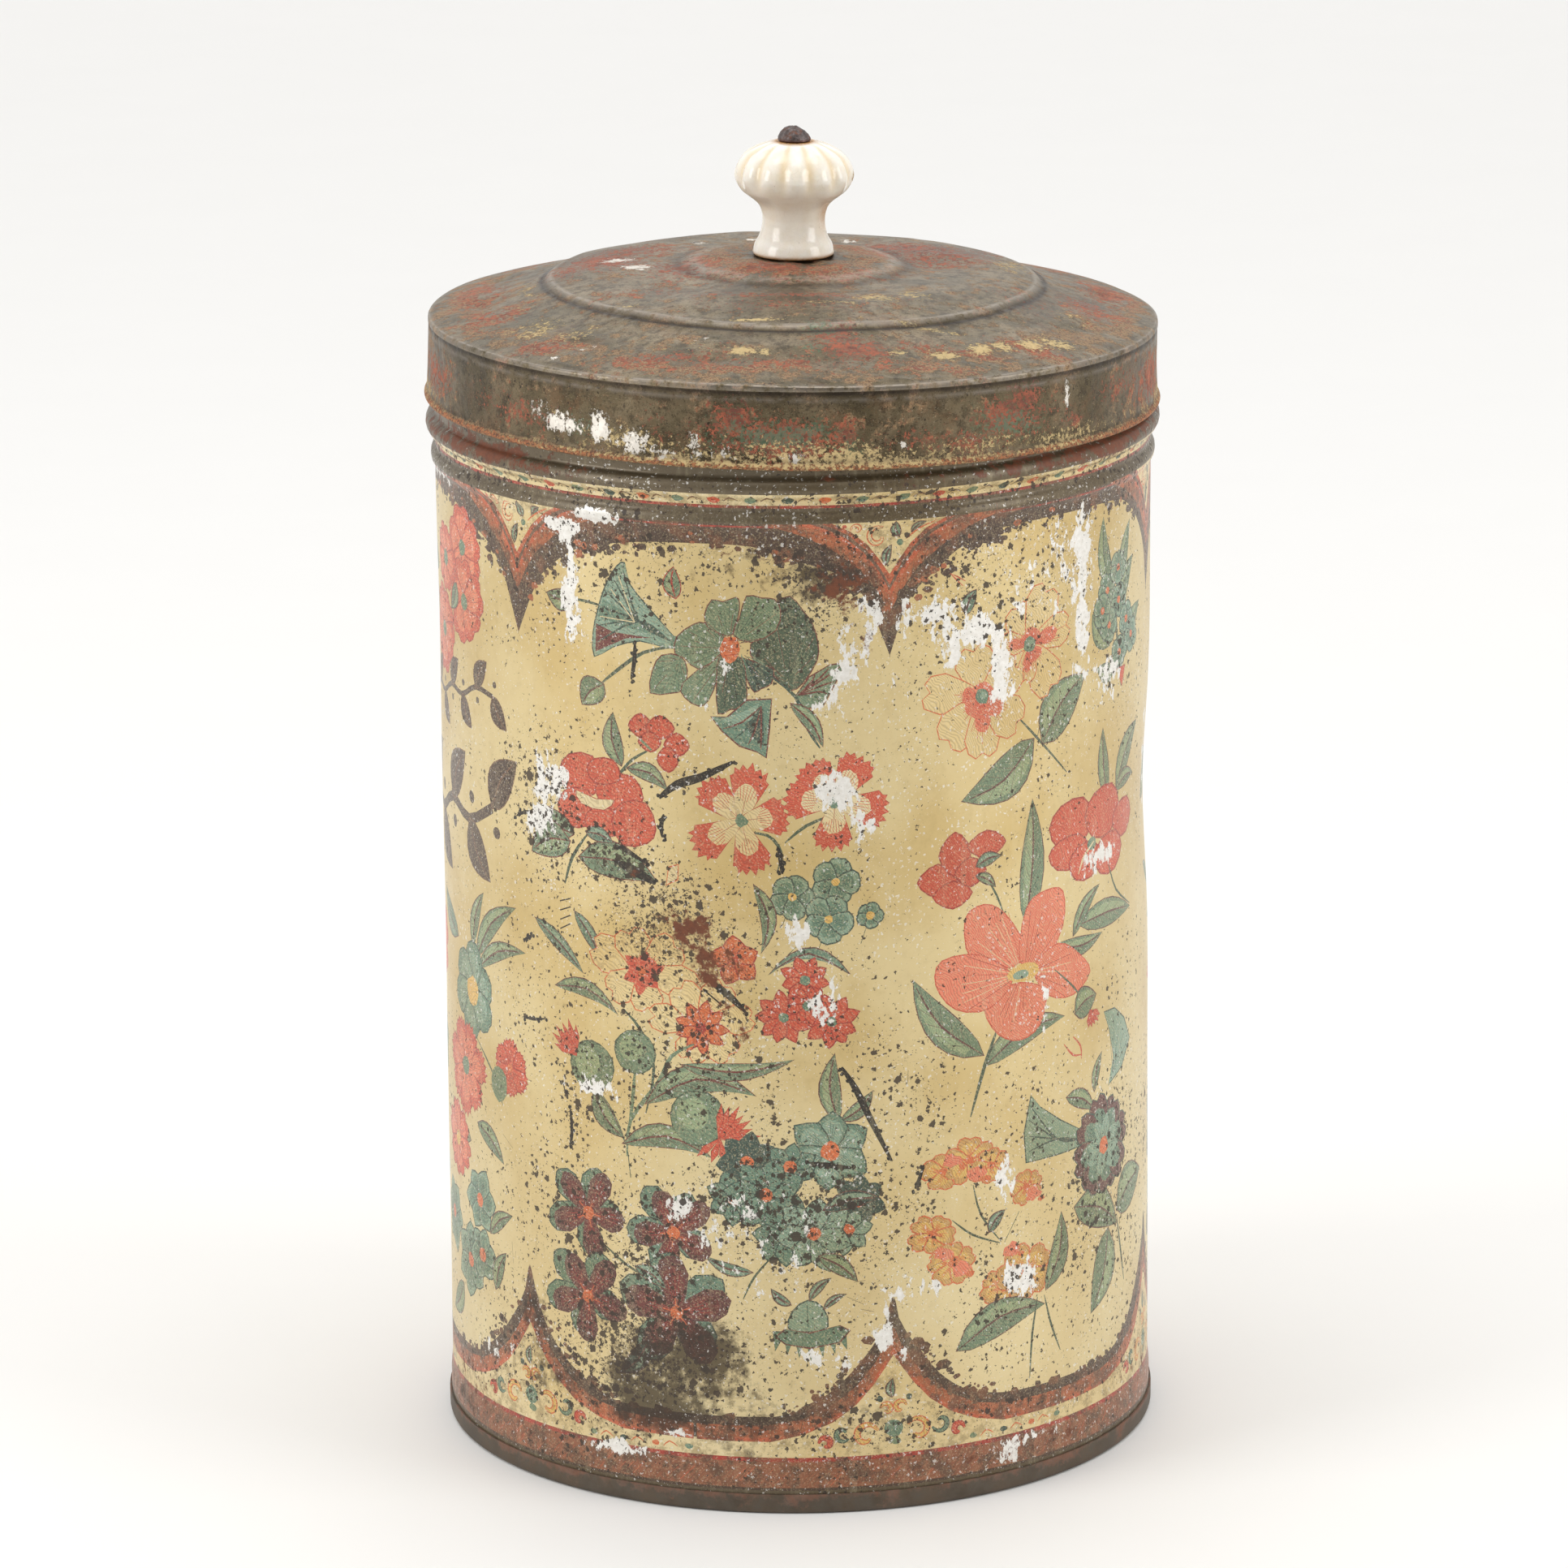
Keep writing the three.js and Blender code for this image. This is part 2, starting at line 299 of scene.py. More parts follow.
LOW_STACK = [("dark", [(0, 43.2), (1.6, 38.5), (4, 34), (7.5, 29.5), (12.5, 25.3), (19, 22.2),
    (27, 20.6), (42, 20.2)]), ("rust", [(0, 40.5), (1.6, 36.5), (4.2, 32.2), (7.7, 28), (12.7, 24),
    (19.3, 20.8), (27, 19.4), (42, 19)]), ("orange",
    [(0, 35.6), (2.2, 32), (4.6, 28.6), (8, 24.8), (13, 21), (19, 18.2), (26, 16.6), (42, 16.2)]),
    ("cream", [(0, 34), (2, 31), (4.4, 27.6), (8, 23.6), (13, 19.9), (19, 17.4), (26, 15.7), (42, 15.5)])]


def span_loop(print_, low, high, ink, kind):
    u0, u1 = across(CUSPS[0], CUSPS[-1])
    n = 24
    us = [u0 + (u1 - u0) * i / n for i in range(n + 1)]
    print_.shape([(u, low) for u in us] + [(u, high) for u in us[::-1]], ink, kind)


def draw_bands(p):
    """The plain rings at the top and bottom, one above another."""
    rings = [(WALL_LOW, 5.0, "grey", 0.2), (5.0, 5.6, "dark", 0.6), (5.6, 11.3, "brick", 0.7),
        (11.3, 12.2, "red_dark", 0.8), (12.2, 16.0, "cream", 0.5), (16.0, 213.3, "dark", 0.8),
        (213.3, 216.4, "grey", 0.3), (216.4, 217.0, "red_dark", 0.8), (217.0, 219.6, "cream", 0.5),
        (219.6, WALL_TOP, "grey", 0.1)]
    for low, high, ink, kind in rings:
        span_loop(p, low, high, ink, kind)
    span_loop(p, 212.5, 212.9, "red_dark", 0.8)
    for u in range(-222, 254, 1):
        if random.random() < 0.75:
            z = random.uniform(6, 7)
            p.stroke([(u, z), (u + 3.2, z + random.uniform(2.8, 4))], 0.4,
                random.choice(["umber", "umber", "orange"]), kind=0.8)


def both_sides(p, centre, line, ink, z_end):
    """A stripe mirrored about the point between two panels."""
    right = [(centre + u, z) for u, z in line]
    left = [(centre - u, z) for u, z in line[:0:-1]]
    kind = 0.5 if ink == "cream" else 0.7
    p.shape(right + [(right[-1][0], z_end), (left[0][0], z_end)] + left, ink, kind)


def draw_stack(p, centre, stack, z_end, half):
    """The stripes that run round the point between two panels."""
    for ink, line in stack:
        both_sides(p, centre, [(u, z) for u, z in line if u <= half], ink, z_end)


def hatch_band(p, centre, line, drop, ink, count):
    """Short slanting strokes of the engraver along a stripe."""
    pts = curve(line, 3)
    for _ in range(count):
        t = random.uniform(0.05, 0.98) * (len(pts) - 1)
        u, z = pts[int(t)]
        side = random.choice([-1, 1])
        p.stroke([(centre + side * u, z - 0.2), (centre + side * (u + 0.5), z - drop)], 0.35, ink, kind=0.7)


def draw_top_point(p, u):
    draw_stack(p, u, TOP_STACK, 213.3, 40)
    hatch_band(p, u, TOP_STACK[0][1], -2.2, "umber", 60)
    p.scroll(u - 2.5, 210, 2.3, "cream", "flame", 60)
    p.scroll(u - 7, 211.8, 1.2, "cream", "flame", 200, -1, 0.5)
    for leaf in ((u - 0.8, 204, u + 0.4, 208, 1.6, "teal", 0.12, "plum", 0),
            (u + 2, 210, u + 1.2, 213, 1.8, "teal", 0.12, "plum", 0),
            (u + 4.8, 210.6, u + 7.6, 212.6, 1.2, "teal", 0.12, "plum", 0)):
        p.leaf(*leaf)
    p.blob(u + 2.2, 208.6, 0.7, 0.7, "teal")
    p.blob(u - 9.5, 212.5, 0.5, 0.5, "red")
    p.stroke([(u + 3.6, 209.2), (u + 6, 211), (u + 10, 212.8)], 0.4, "flame")


def draw_low_point(p, u, half):
    draw_stack(p, u, LOW_STACK, 12.2, half)
    hatch_band(p, u, [q for q in LOW_STACK[1][1] if q[0] < half], 2.4, "umber", 70)
    p.leaf(u - 0.4, 24.8, u - 0.2, 28.6, 1.8, "teal", veins=0)
    p.blob(u - 3, 24.5, 0.7, 0.7, "teal_dark")
    p.blob(u + 3.4, 24.5, 0.7, 0.7, "teal_dark")
    for scroll in ((u + 1.4, 22.4, 1.5, "yellow", "flame", 10),
            (u - 1.6, 22.2, 1.4, "yellow", "flame", 170, -1),
            (u - 6, 16.6, 2.8, "yellow", "flame", 20, 1, 1.2),
            (u + 5.4, 17, 2.8, "yellow", "flame", 150, -1, 1.2),
            (u + 10.5, 17.8, 2.1, "teal", "teal_dark", 200, 1, 0.9),
            (u - 11, 17.2, 1.8, "teal", "teal_dark", 320, -1, 0.9)):
        p.scroll(*scroll)
    p.blob(u, 17.8, 2, 2, "teal")
    p.blob(u + 0.4, 15, 1.2, 0.8, "green")
    p.scroll(u + 14.6, 15.8, 1.5, "red", "red_dark", 0, 1, 1.2)
    p.scroll(u - 14.6, 15.3, 1.5, "red", "red_dark", 180, -1, 1.2)


def draw_narrow_bands(p, u):
    """Small ornaments on the two cream rings, spaced round from a point between panels."""
    for k in range(11):
        x = u + 3 + k * 7.6
        ink = ["teal", "red", "green", "teal_dark", "flame"][k % 5]
        p.blob(x, 218.2, 1.3, 0.8, ink)
        p.stroke([(x + 2, 217.8), (x + 3.4, 218.8), (x + 5, 218)], 0.4, "umber")
        if 16 < x - u < 66:
            p.blob(x, 13.7, 0.9, 0.6, ink)
            p.stroke([(x + 1.8, 13.2), (x + 3.2, 14.4), (x + 5, 13.4)], 0.35, "flame")


def draw_ground(p, a, b, kind):
    """One panel's plain ground, with its scalloped top and bottom."""
    u0, u1 = across(a, b)
    top = [(u0 + (u1 - u0) * f, z) for f, z in TOP_EDGE[kind]]
    low = [(u0 + (u1 - u0) * f, z) for f, z in LOW_EDGE[kind]]
    top = [(u0 + 0.05, 185)] + curve(top[1:-1], 3) + [(u1 - 0.05, 185)]
    low = [(u0 + 0.6, 45.6)] + curve(low[1:-1], 3) + [(u1 - 0.6, 45.6)]
    tip0 = [(u0 + 0.05, 184), (u0 + 0.05, 47)]
    tip1 = [(u1 - 0.05, 47), (u1 - 0.05, 184)]
    p.shape(tip0 + low + tip1 + top[::-1], "ground", 0.0)
    for x0, x1 in ((u0 - 0.05, u0 + 0.1), (u1 - 0.1, u1 + 0.05)):
        p.shape([(x0, 46.5), (x1, 46.5), (x1, 184.5), (x0, 184.5)], "ground", 0.0)
    spatter(p, top[6:-6], "dark", 120, -3.2)
    spatter(p, top[3:-3], "rust", 26, 2.4)
    spatter(p, low[6:-6], "dark", 50, 2.0)
    spatter(p, low[3:-3], "umber", 44, -3.0)


def spatter(p, line, ink, count, reach):
    """Broken bits of a dark border that have spread over its edge."""
    for _ in range(count):
        u, z = random.choice(line)
        far = reach * random.random() ** 2.2
        size = random.uniform(0.25, 1.0) * (1.1 - 0.7 * far / reach)
        p.blob(u + random.uniform(-3, 3), z + far, size * random.uniform(0.8, 1.7), size, ink, 0.35, 6, 0.7)


# ---------------------------------------------------------------- centre panel

def draw_trumpet(p):
    p.outlined(loop_curve([(-36, 203.3), (-35, 199), (-31, 194.5), (-25.5, 189), (-24, 187),
        (-27, 186.4), (-33, 187.5), (-39, 185.6), (-43.6, 183), (-43.8, 188), (-42.5, 193),
        (-40.5, 198.5), (-38, 202.4)], 2), "teal_light", "teal_dark")
    p.shape([(-43.4, 184), (-36, 187.6), (-30, 188.2), (-39, 188.6), (-43.2, 190)], "maroon")
    p.shape([(-42.6, 191.5), (-34, 189.6), (-27, 188.4), (-34, 192), (-41.4, 195.4)], "teal")
    for x, y in ((-36.5, 202), (-38.5, 199.5), (-40, 196.5), (-41.6, 193.6), (-43, 189.5), (-43, 186)):
        p.stroke([(x, y), (-33, 191.5), (-26, 187.8)], 0.5, "teal_dark")
    for x, y in ((-37.6, 200.6), (-39.4, 197.6), (-42.2, 191.6)):
        p.stroke([(x, y), (-34, 191.2)], 0.6, "cream")
    p.stroke([(-26, 188), (-20, 187.4)], 2.2, "teal", False)


TOP_PETALS = [("green", [(-24, 184.8), (-28, 184.6), (-30, 181.4), (-30.6, 176.6), (-26, 177),
    (-23.4, 178), (-22.6, 182)], (-24, 184)),
    ("green_dark", [(-9, 188), (-4, 192), (-4.4, 196), (-1, 198), (1.6, 195), (3.6, 192), (4.6, 188),
    (4.4, 184.6), (1.6, 180), (-1, 178.4), (-3.6, 180.8), (-8, 184)], (-1.6, 180)),
    ("teal_dark", [(-11, 185), (-6, 183.4), (-4.5, 182.6), (-5, 179.8), (-7, 178.8), (-8.4, 178),
    (-9.6, 180), (-10.6, 182.6)], (-11, 186)),
    ("green", [(-15.6, 185.6), (-23.4, 179.2), (-23, 176.2), (-20, 174.6), (-18, 176), (-16.2, 180.4),
    (-15, 184.6)], (-14, 186)), ("green", [(-15, 189.8), (-18.6, 192), (-21, 191.6), (-24.6, 188.8),
    (-25, 185.4), (-23, 184.6), (-20, 182.4), (-15.4, 186)], (-14, 187)),
    ("green", [(-15, 190), (-18, 191.5), (-18.5, 194), (-17, 197), (-14.8, 196.6), (-12.2, 197.7),
    (-11.4, 196.5), (-11.8, 193.5), (-13, 190)], (-13.6, 188)),
    ("green", [(-12.6, 190), (-11.2, 193.5), (-9.8, 198), (-6.8, 197.6), (-4.2, 197.4), (-3, 195),
    (-4, 191), (-9, 188.5)], (-12.6, 188)), ("green_dark",
    [(-15.4, 185.6), (-16.2, 180), (-16, 173.2), (-13.5, 174.2), (-10.4, 175), (-10.2, 180),
    (-11, 184.8)], (-13.4, 186))]


def draw_top_spray(p):
    """The large open flower with its bell, buds and leaves."""
    p.stroke([(-24, 187), (-32, 185), (-39, 180), (-42.5, 177)], 0.8, "green_dark")
    p.stroke([(-40, 193.6), (-46, 194.4), (-51, 194.4)], 0.6, "green_dark")
    for leaf in ((-49, 194.2, -56, 194.8, 4.4, "green", 0.1, "plum", 2),
            (-41.6, 177.2, -47, 172.4, 6, "green", -0.12, "plum", 2),
            (-24.8, 197, -25.2, 203.4, 3.6, "green", 0.1, "red_dark", 2)):
        p.leaf(*leaf)
    p.outlined([(0, 177), (3, 181), (7, 183.4), (10.4, 183.8), (8, 179.6), (5.6, 175), (2, 174.6)],
        "green", "maroon")
    for x, y in ((4, 182), (7, 183), (9.6, 183.4), (8, 180), (6.6, 177.4), (5, 175.4)):
        p.stroke([(0.4, 177.2), ((x + 3) / 2, (y + 178.6) / 2), (x, y)], 0.4,
            random.choice(["maroon", "green_dark"]))
    draw_trumpet(p)
    for name, outline, heart in TOP_PETALS:
        smooth = loop_curve(outline, 2)
        p.outlined(smooth, name, "maroon", 0.25)
        inks = ("green_dark", "teal_dark", "maroon", "green_dark") if name == "green" else ("green",
            "teal", "maroon", "black")
        for k in range(36):
            x, y = random.choice(smooth)
            near, far = random.uniform(0.1, 0.5), random.uniform(0.6, 0.97)
            p.stroke([(heart[0] + (x - heart[0]) * near, heart[1] + (y - heart[1]) * near),
                (heart[0] + (x - heart[0]) * far, heart[1] + (y - heart[1]) * far)], 0.34,
                random.choice(inks))
    p.blob(-13.4, 186.8, 2.1, 2.8, "flame", 0.08)
    for k in range(4):
        p.stroke([(-15, 188.4 - k), (-11.8, 188.8 - k)], 0.3, "red_dark")
    p.stroke([(-6, 182), (0, 177), (2.6, 170), (5, 166)], 0.8, "teal_dark")
    p.leaf(-1, 175.5, 5.5, 166.4, 3, "green", 0.1, "maroon", 2)
    p.outlined([(-17.4, 172.4), (-14, 172.4), (-10, 176), (-5, 176.4), (-5.6, 170), (-6.2, 164.2),
        (-8, 165.4), (-11.6, 166.6), (-15, 169.4)], "teal", "maroon")
    p.shape([(-16, 171.8), (-11, 173.6), (-7.4, 175.6), (-9, 172), (-12, 171)], "teal_light")
    p.shape([(-10.4, 171), (-6.6, 174.6), (-6.6, 166.6), (-8.6, 168)], "teal_dark")
    for x, y in ((-15, 170), (-12.6, 168), (-9.8, 166.8), (-7.2, 165.8)):
        p.stroke([(x, y), ((x - 7) / 2, (y + 175) / 2 - 1), (-7, 175)], 0.4,
            random.choice(["maroon", "teal_dark"]))


def draw_left_reds(p):
    """A small red bloom over a large one, both side on."""
    p.stroke([(-30, 165), (-35, 162), (-38.4, 158.4), (-43, 156)], 0.7, "green_dark")
    p.leaf(-37.6, 160.4, -39.4, 171.4, 4.4, "green", 0.12, veins=3)
    p.leaf(-36.2, 160, -27.2, 156.2, 3.6, "green", 0.16, veins=3)
    for x, y, rx, ry in ((-33, 169.4, 2.6, 2.4), (-28.6, 169.4, 3, 2.3), (-25, 166, 2.6, 2.3),
            (-27, 162.8, 2.2, 2.6), (-31, 166.2, 2.4, 2)):
        p.outlined(loop_curve([(x + rx, y), (x, y + ry), (x - rx, y - 0.2), (x + 0.2, y - ry)], 3),
            "red", "red_dark")
        p.stroke([(x, y), (x - 1.4, y - 1.2)], 0.4, "red_light")
    p.stroke([(-33, 166.4), (-30.6, 164.4)], 1.6, "green")
    for x, y, rx, ry in ((-48, 157, 5.4, 4.4), (-38.4, 154.6, 5.6, 3.6), (-42, 158.6, 4, 2.6),
            (-49, 149.8, 5, 4), (-42.4, 147.6, 4.4, 3), (-35, 148.2, 5, 4.6)):
        p.outlined(loop_curve([(x + rx, y - 0.6), (x + rx * 0.6, y + ry), (x - rx * 0.5, y + ry * 0.9),
            (x - rx, y), (x - rx * 0.5, y - ry), (x + rx * 0.6, y - ry * 0.8)], 2), "red", "red_dark")
        for k in range(4):
            p.stroke([(x + 0.4 * k - 0.8, y - ry * 0.6), (x + 1.2 * k - 2, y + ry * 0.6)], 0.3, "red_light")
    p.outlined(loop_curve([(-49, 153.6), (-44, 152.4), (-39.6, 152.8), (-42, 150.4), (-47.6, 151)], 2),
        "cream", "red_dark", 0.3)
    p.stroke([(-52.5, 133), (-50.4, 139), (-46, 145)], 0.8, "green_dark")
    for leaf in ((-50, 144, -60, 149, 6, "green", 0.1, "maroon"),
            (-51, 142.4, -62, 138.4, 8, "green", -0.14, "maroon"),
            (-48.6, 139.4, -30, 136.6, 7.6, "green", 0.1, "maroon", 5),
            (-46.6, 145, -40, 143.6, 3, "teal", 0.1, "plum", 0)):
        p.leaf(*leaf)
    p.outlined([(-27.6, 136), (-25.2, 137.4), (-25, 140.4), (-27, 139.6)], "cream", "flame")


def draw_pinks(p):
    """Two fringed blooms on one stalk."""
    p.stroke([(-11.4, 148), (-6, 147.6), (-3.2, 144), (-4, 140)], 0.7, "green_dark")
    p.stroke([(8, 152), (2, 149.6), (-2.4, 146)], 0.7, "green_dark")
    blooms = ((-11.5, 150.6, ((135, 10), (78, 10.8), (8, 9), (285, 10.4), (213, 10.8)), "jag"),
              (8, 154.6, ((125, 9), (58, 10), (-14, 10.4), (266, 9.4), (176, 9.6)), "jag"))
    for x, y, petals, tip in blooms:
        for turn, long in petals:
            p.outlined(p.petal(x, y, turn, 0.3, long * 1.04, 7.8, tip), "red", "red_dark", 0.12)
            p.shape(p.petal(x, y, turn, 0.3, long * 0.72, 5.0, "round"), "cream")
            for j in range(9):
                a = math.radians(turn + (j - 4) * 6)
                inner = long * (0.34 + 0.05 * abs(j - 4))
                p.stroke([(x + inner * math.cos(a), y + inner * math.sin(a)),
                          (x + long * 0.7 * math.cos(a), y + long * 0.7 * math.sin(a))], 0.36, "red")
            a = math.radians(turn)
            p.stroke([(x, y), (x + long * 0.5 * math.cos(a), y + long * 0.5 * math.sin(a))], 0.3,
                "red_dark")
        p.blob(x, y, 1.4, 1.4, "teal", 0.2)


def draw_forget_me_nots(p):
    for x, y, r in ((8, 137.5, 4.9), (-1, 134.5, 4.6), (6.5, 129.5, 5), (15.2, 130, 2.6)):
        p.stroke([(x, y), (x - 2, y - 6)], 0.4, "green_dark")
        p.flower(x, y, r, 5, "teal", "teal_light", "teal_dark", "round", x * 9, "yellow", 0.9, 1.1, 1,
            "teal_dark")
    p.stroke([(3, 127), (-2, 122)], 0.4, "green_dark")
    for leaf in ((-9, 137, -7.6, 122.4, 3.2, "green", 0.16, "plum", 3),
            (10.8, 117.6, -6, 117.6, 2.4, "teal", -0.28, "plum", 0),
            (-61.4, 124, -48, 114.4, 3.2, "teal", 0.05, "plum", 0),
            (-50, 127.4, -43, 117.6, 3, "teal", 0.05, "plum", 0),
            (-55.6, 110.4, -39.4, 106.6, 3.6, "green", 0.16, "plum", 3)):
        p.leaf(*leaf)


def hatched_bloom(p, x, y, petals, heart):
    """Petals in thin outline, each with a brush of red hatching near the heart."""
    for turn, long, width, reach in petals:
        p.outlined(p.petal(x, y, turn, 0.4, long, width, "notch"), "pale", "flame", 0.28)
    for turn, long, width, reach in petals:
        half = math.degrees(math.atan2(width * 0.36, long * 0.6))
        p.shape(p.petal(x, y, turn, 1.0, reach * 0.8, width * 0.5, "round"), "red_light")
        for k in range(11):
            a = math.radians(turn + half * (k - 5) / 5)
            far = reach * random.uniform(0.78, 1.12) * (1 - 0.05 * abs(k - 5))
            p.stroke([(x + 1.2 * math.cos(a), y + 1.2 * math.sin(a)),
                (x + far * math.cos(a), y + far * math.sin(a))], 0.36, "red")
    p.blob(x, y, 1.8, 1.7, heart, 0.15)
    p.blob(x + 0.3, y + 0.2, 0.9, 0.8, "teal_light" if heart == "teal" else "yellow", 0.15)


def draw_middle(p):
    """Outline blooms, red stars and the green globes."""
    hatched_bloom(p, -33.5, 116.5, ((160, 12, 8, 4), (110, 9, 8, 4), (40, 10, 8, 5), (-10, 12, 7, 3),
        (215, 9, 7, 4), (280, 8, 7, 4)), "flame")
    hatched_bloom(p, -20.5, 106.4, ((175, 11, 6, 4), (120, 9, 7, 4), (60, 10, 7, 5), (10, 11, 6, 3),
        (-45, 9, 7, 4), (250, 8, 7, 4)), "flame")
    p.flower(-33.5, 116.5, 5, 6, "red", None, None, "point", 20, "flame", 1, 0.7, 0)
    p.flower(-20.5, 105.6, 5.6, 9, "flame", None, "red_dark", "point", 0, "red_dark", 1.2, 0.8, 0)
    p.flower(-13, 120.6, 5, 5, "flame", None, "red_dark", "point", 100, "red", 0.8, 0.9, 1)
    for x, y, r in ((1.5, 116.5, 5), (-3, 108.5, 5.6), (7, 107.5, 5.6), (2, 111, 4)):
        p.flower(x, y, r, 9, "red", None, "red_dark", "point", x * 20, "teal", 1.1, 1.0, 0)
    for line in (([(-37.6, 76), (-36.6, 84), (-30, 93), (-27, 99), (-22, 102)], 1.0, "green"),
            ([(-38, 79), (-41, 85), (-45, 90)], 0.9, "green"),
            ([(-37, 82), (-36, 89), (-35.4, 95)], 0.9, "green"),
            ([(-33, 86), (-31, 96), (-34, 104), (-38, 108)], 0.8, "green_dark"),
            ([(-37.4, 77), (-36.8, 71.4)], 0.6, "green_dark")):
        p.stroke(*line)
    for leaf in ((-45.6, 89, -38.4, 80, 4.4, "green", -0.1, "plum", 3),
            (-33, 88, -9, 91.4, 6, "green", 0.2, "maroon", 5),
            (-25, 97.4, -1, 99.4, 3.6, "green", -0.08, "maroon", 4),
            (-38.6, 78.6, -18.6, 77.6, 5, "green", 0.17, "maroon", 5)):
        p.leaf(*leaf)
    for x, y, r in ((-46, 94.4, 5.4), (-35.4, 99, 4.6), (-21.4, 86, 5.8)):
        p.blob(x, y, r + 0.3, r + 0.3, "green_dark", 0.03, 16)
        p.blob(x, y, r, r, "green", 0.03, 16)
        p.blob(x - r * 0.2, y + r * 0.15, r * 0.6, r * 0.62, "green_light", 0.05, 14)
        for _ in range(10):
            p.blob(x + random.uniform(-0.5, 0.5) * r, y + random.uniform(-0.5, 0.5) * r, 0.35, 0.35,
                "green_dark", n=5)
    p.tuft(-50, 96, 128, 7.5)
    p.tuft(-17, 81.6, 46, 9, count=7)
    p.tuft(-16.6, 82, 250, 6, count=3)


def draw_low_teals(p):
    """A clematis over a crowd of smaller teal blooms."""
    p.leaf(8.2, 86, 7.6, 100.4, 4.4, "green", 0.1, veins=4)
    p.leaf(9, 86, 15.4, 92, 3, "green", -0.1, veins=2)
    p.flower(6.5, 79.5, 8.8, 6, "teal_light", "teal", "teal_dark", "point", 26, "flame", 2.1, 1.0, 2,
        "teal_dark")
    for x, y, r, ink in ((-11, 77, 6.4, "teal_dark"), (-2, 76, 5.4, "teal"), (-13.6, 69, 6, "teal"),
            (12.4, 68.4, 5.6, "teal_dark"), (-7, 70, 8.4, "teal"), (-3, 61, 6.6, "teal"),
            (10, 62, 5, "teal_light"), (3, 61.5, 8.2, "teal_light")):
        p.flower(x, y, r, 7, ink, None, "teal_dark", "point", x * 11, "flame", 1.5, 1.0, 1, "teal_dark")
    p.leaf(5, 66.6, 17, 68.6, 3.6, "teal_dark", 0.1, veins=2)
    p.leaf(4, 56.6, 12, 50.8, 3.6, "green", 0.08, veins=2)
    p.stroke([(-12, 47), (-9.6, 52), (-5.4, 57)], 0.5, "green_dark")
    p.leaf(-10, 53, -20, 56, 2.4, "teal", 0.1, veins=0)


def draw_maroons(p):
    """Dark five-petalled blooms, each printed a little out of register with its teal."""
    blooms = ((-47.5, 62, 9.6, 66), (-27, 60.5, 9.6, 118), (-26.5, 43, 12.4, 96), (-48, 43.4, 10, 130))
    for x, y, r, turn in blooms:
        p.flower(x - 1.4, y + 1, r, 5, "teal", None, "teal_dark", "round", turn, "teal", 0, 0.72, 1,
            "teal_dark")
        p.flower(x, y, r, 5, "maroon", "plum", None, "round", turn - 4, "flame", 1.5, 0.66, 2, "red_dark")
        for k in range(5):
            a = math.radians(turn + 72 * k)
            p.stroke([(x, y), (x + 3.2 * math.cos(a), y + 3.2 * math.sin(a))], 0.6, "flame")
    p.stroke([(-44, 56), (-38, 52), (-33, 50)], 0.6, "green_dark")
    p.leaf(-36, 52, -29, 48, 3, "teal", 0.1, veins=0)
    p.leaf(-33, 36, -40, 28, 4, "teal_dark", 0.1, veins=2)


def draw_thistle(p):
    p.outlined(loop_curve([(-2.4, 41), (-1.4, 44.6), (1.6, 46.8), (4.6, 45.2), (5.6, 41.2), (1.4, 39.8)],
        2), "teal_light", "teal_dark")
    p.stroke([(1.4, 46), (1.6, 41)], 0.5, "teal_dark")
    skirt = [(-5, 39), (-3, 40.6), (2, 39.6), (8, 41.2), (10.2, 40)]
    for k in range(7):
        x = -4.4 + 2.1 * k
        p.outlined([(x - 1.3, 40), (x + 1.3, 40), (x + 0.3 + (k - 3) * 0.4, 33.6 + abs(k - 3) * 0.8)],
            "teal", "teal_dark", 0.25)
    p.outlined(skirt + [(8, 37.6), (2, 36.6), (-3, 37.4)], "teal", "maroon", 0.4)
    for leaf in ((-2, 46, -6, 49.4, 1.8, "teal", 0.1, "plum", 0),
            (2, 47, 6.4, 51.6, 1.8, "teal", 0.1, "plum", 0),
            (5, 45, 9.6, 48, 1.4, "teal", 0.1, "plum", 0)):
        p.leaf(*leaf)


def draw_centre(p):
    draw_top_spray(p)
    draw_left_reds(p)
    draw_pinks(p)
    draw_forget_me_nots(p)
    draw_middle(p)
    draw_low_teals(p)
    draw_maroons(p)
    draw_thistle(p)


# ---------------------------------------------------------------- right panel

def draw_line_flowers(p):
    """Pale outline blooms with red hatching, high on the right panel."""
    p.stroke([(49.5, 168.5), (55, 163), (64, 154)], 0.6, "green_dark")
    p.stroke([(57, 170), (55, 163)], 0.5, "green_dark")
    p.leaf(54, 163, 35.6, 152.4, 9, "green", 0.12, "plum", 5)
    p.leaf(56.5, 161.6, 70, 174, 10, "green", 0.1, "plum", 5)
    hatched_bloom(p, 52.8, 183.4, ((112, 9, 8, 3.4), (66, 12, 9, 4.4), (12, 11.5, 7, 10),
        (302, 12, 9, 5), (262, 7.6, 5, 7.4), (172, 7.4, 5, 7)), "teal")
    hatched_bloom(p, 40.6, 174, ((102, 10.4, 9, 3.6), (170, 13.4, 8, 6), (226, 12, 9, 6),
        (270, 12.6, 8, 9.4), (322, 11.4, 9, 7.4), (32, 10.4, 9, 3.6)), "teal")
    p.leaf(36.6, 192, 39, 196.8, 2.8, "teal", 0.1, veins=0)
    p.stroke([(36, 198), (33, 201), (36.5, 199)], 0.4, "red")
    p.stroke([(38, 192), (41, 188.6)], 0.5, "green_dark")


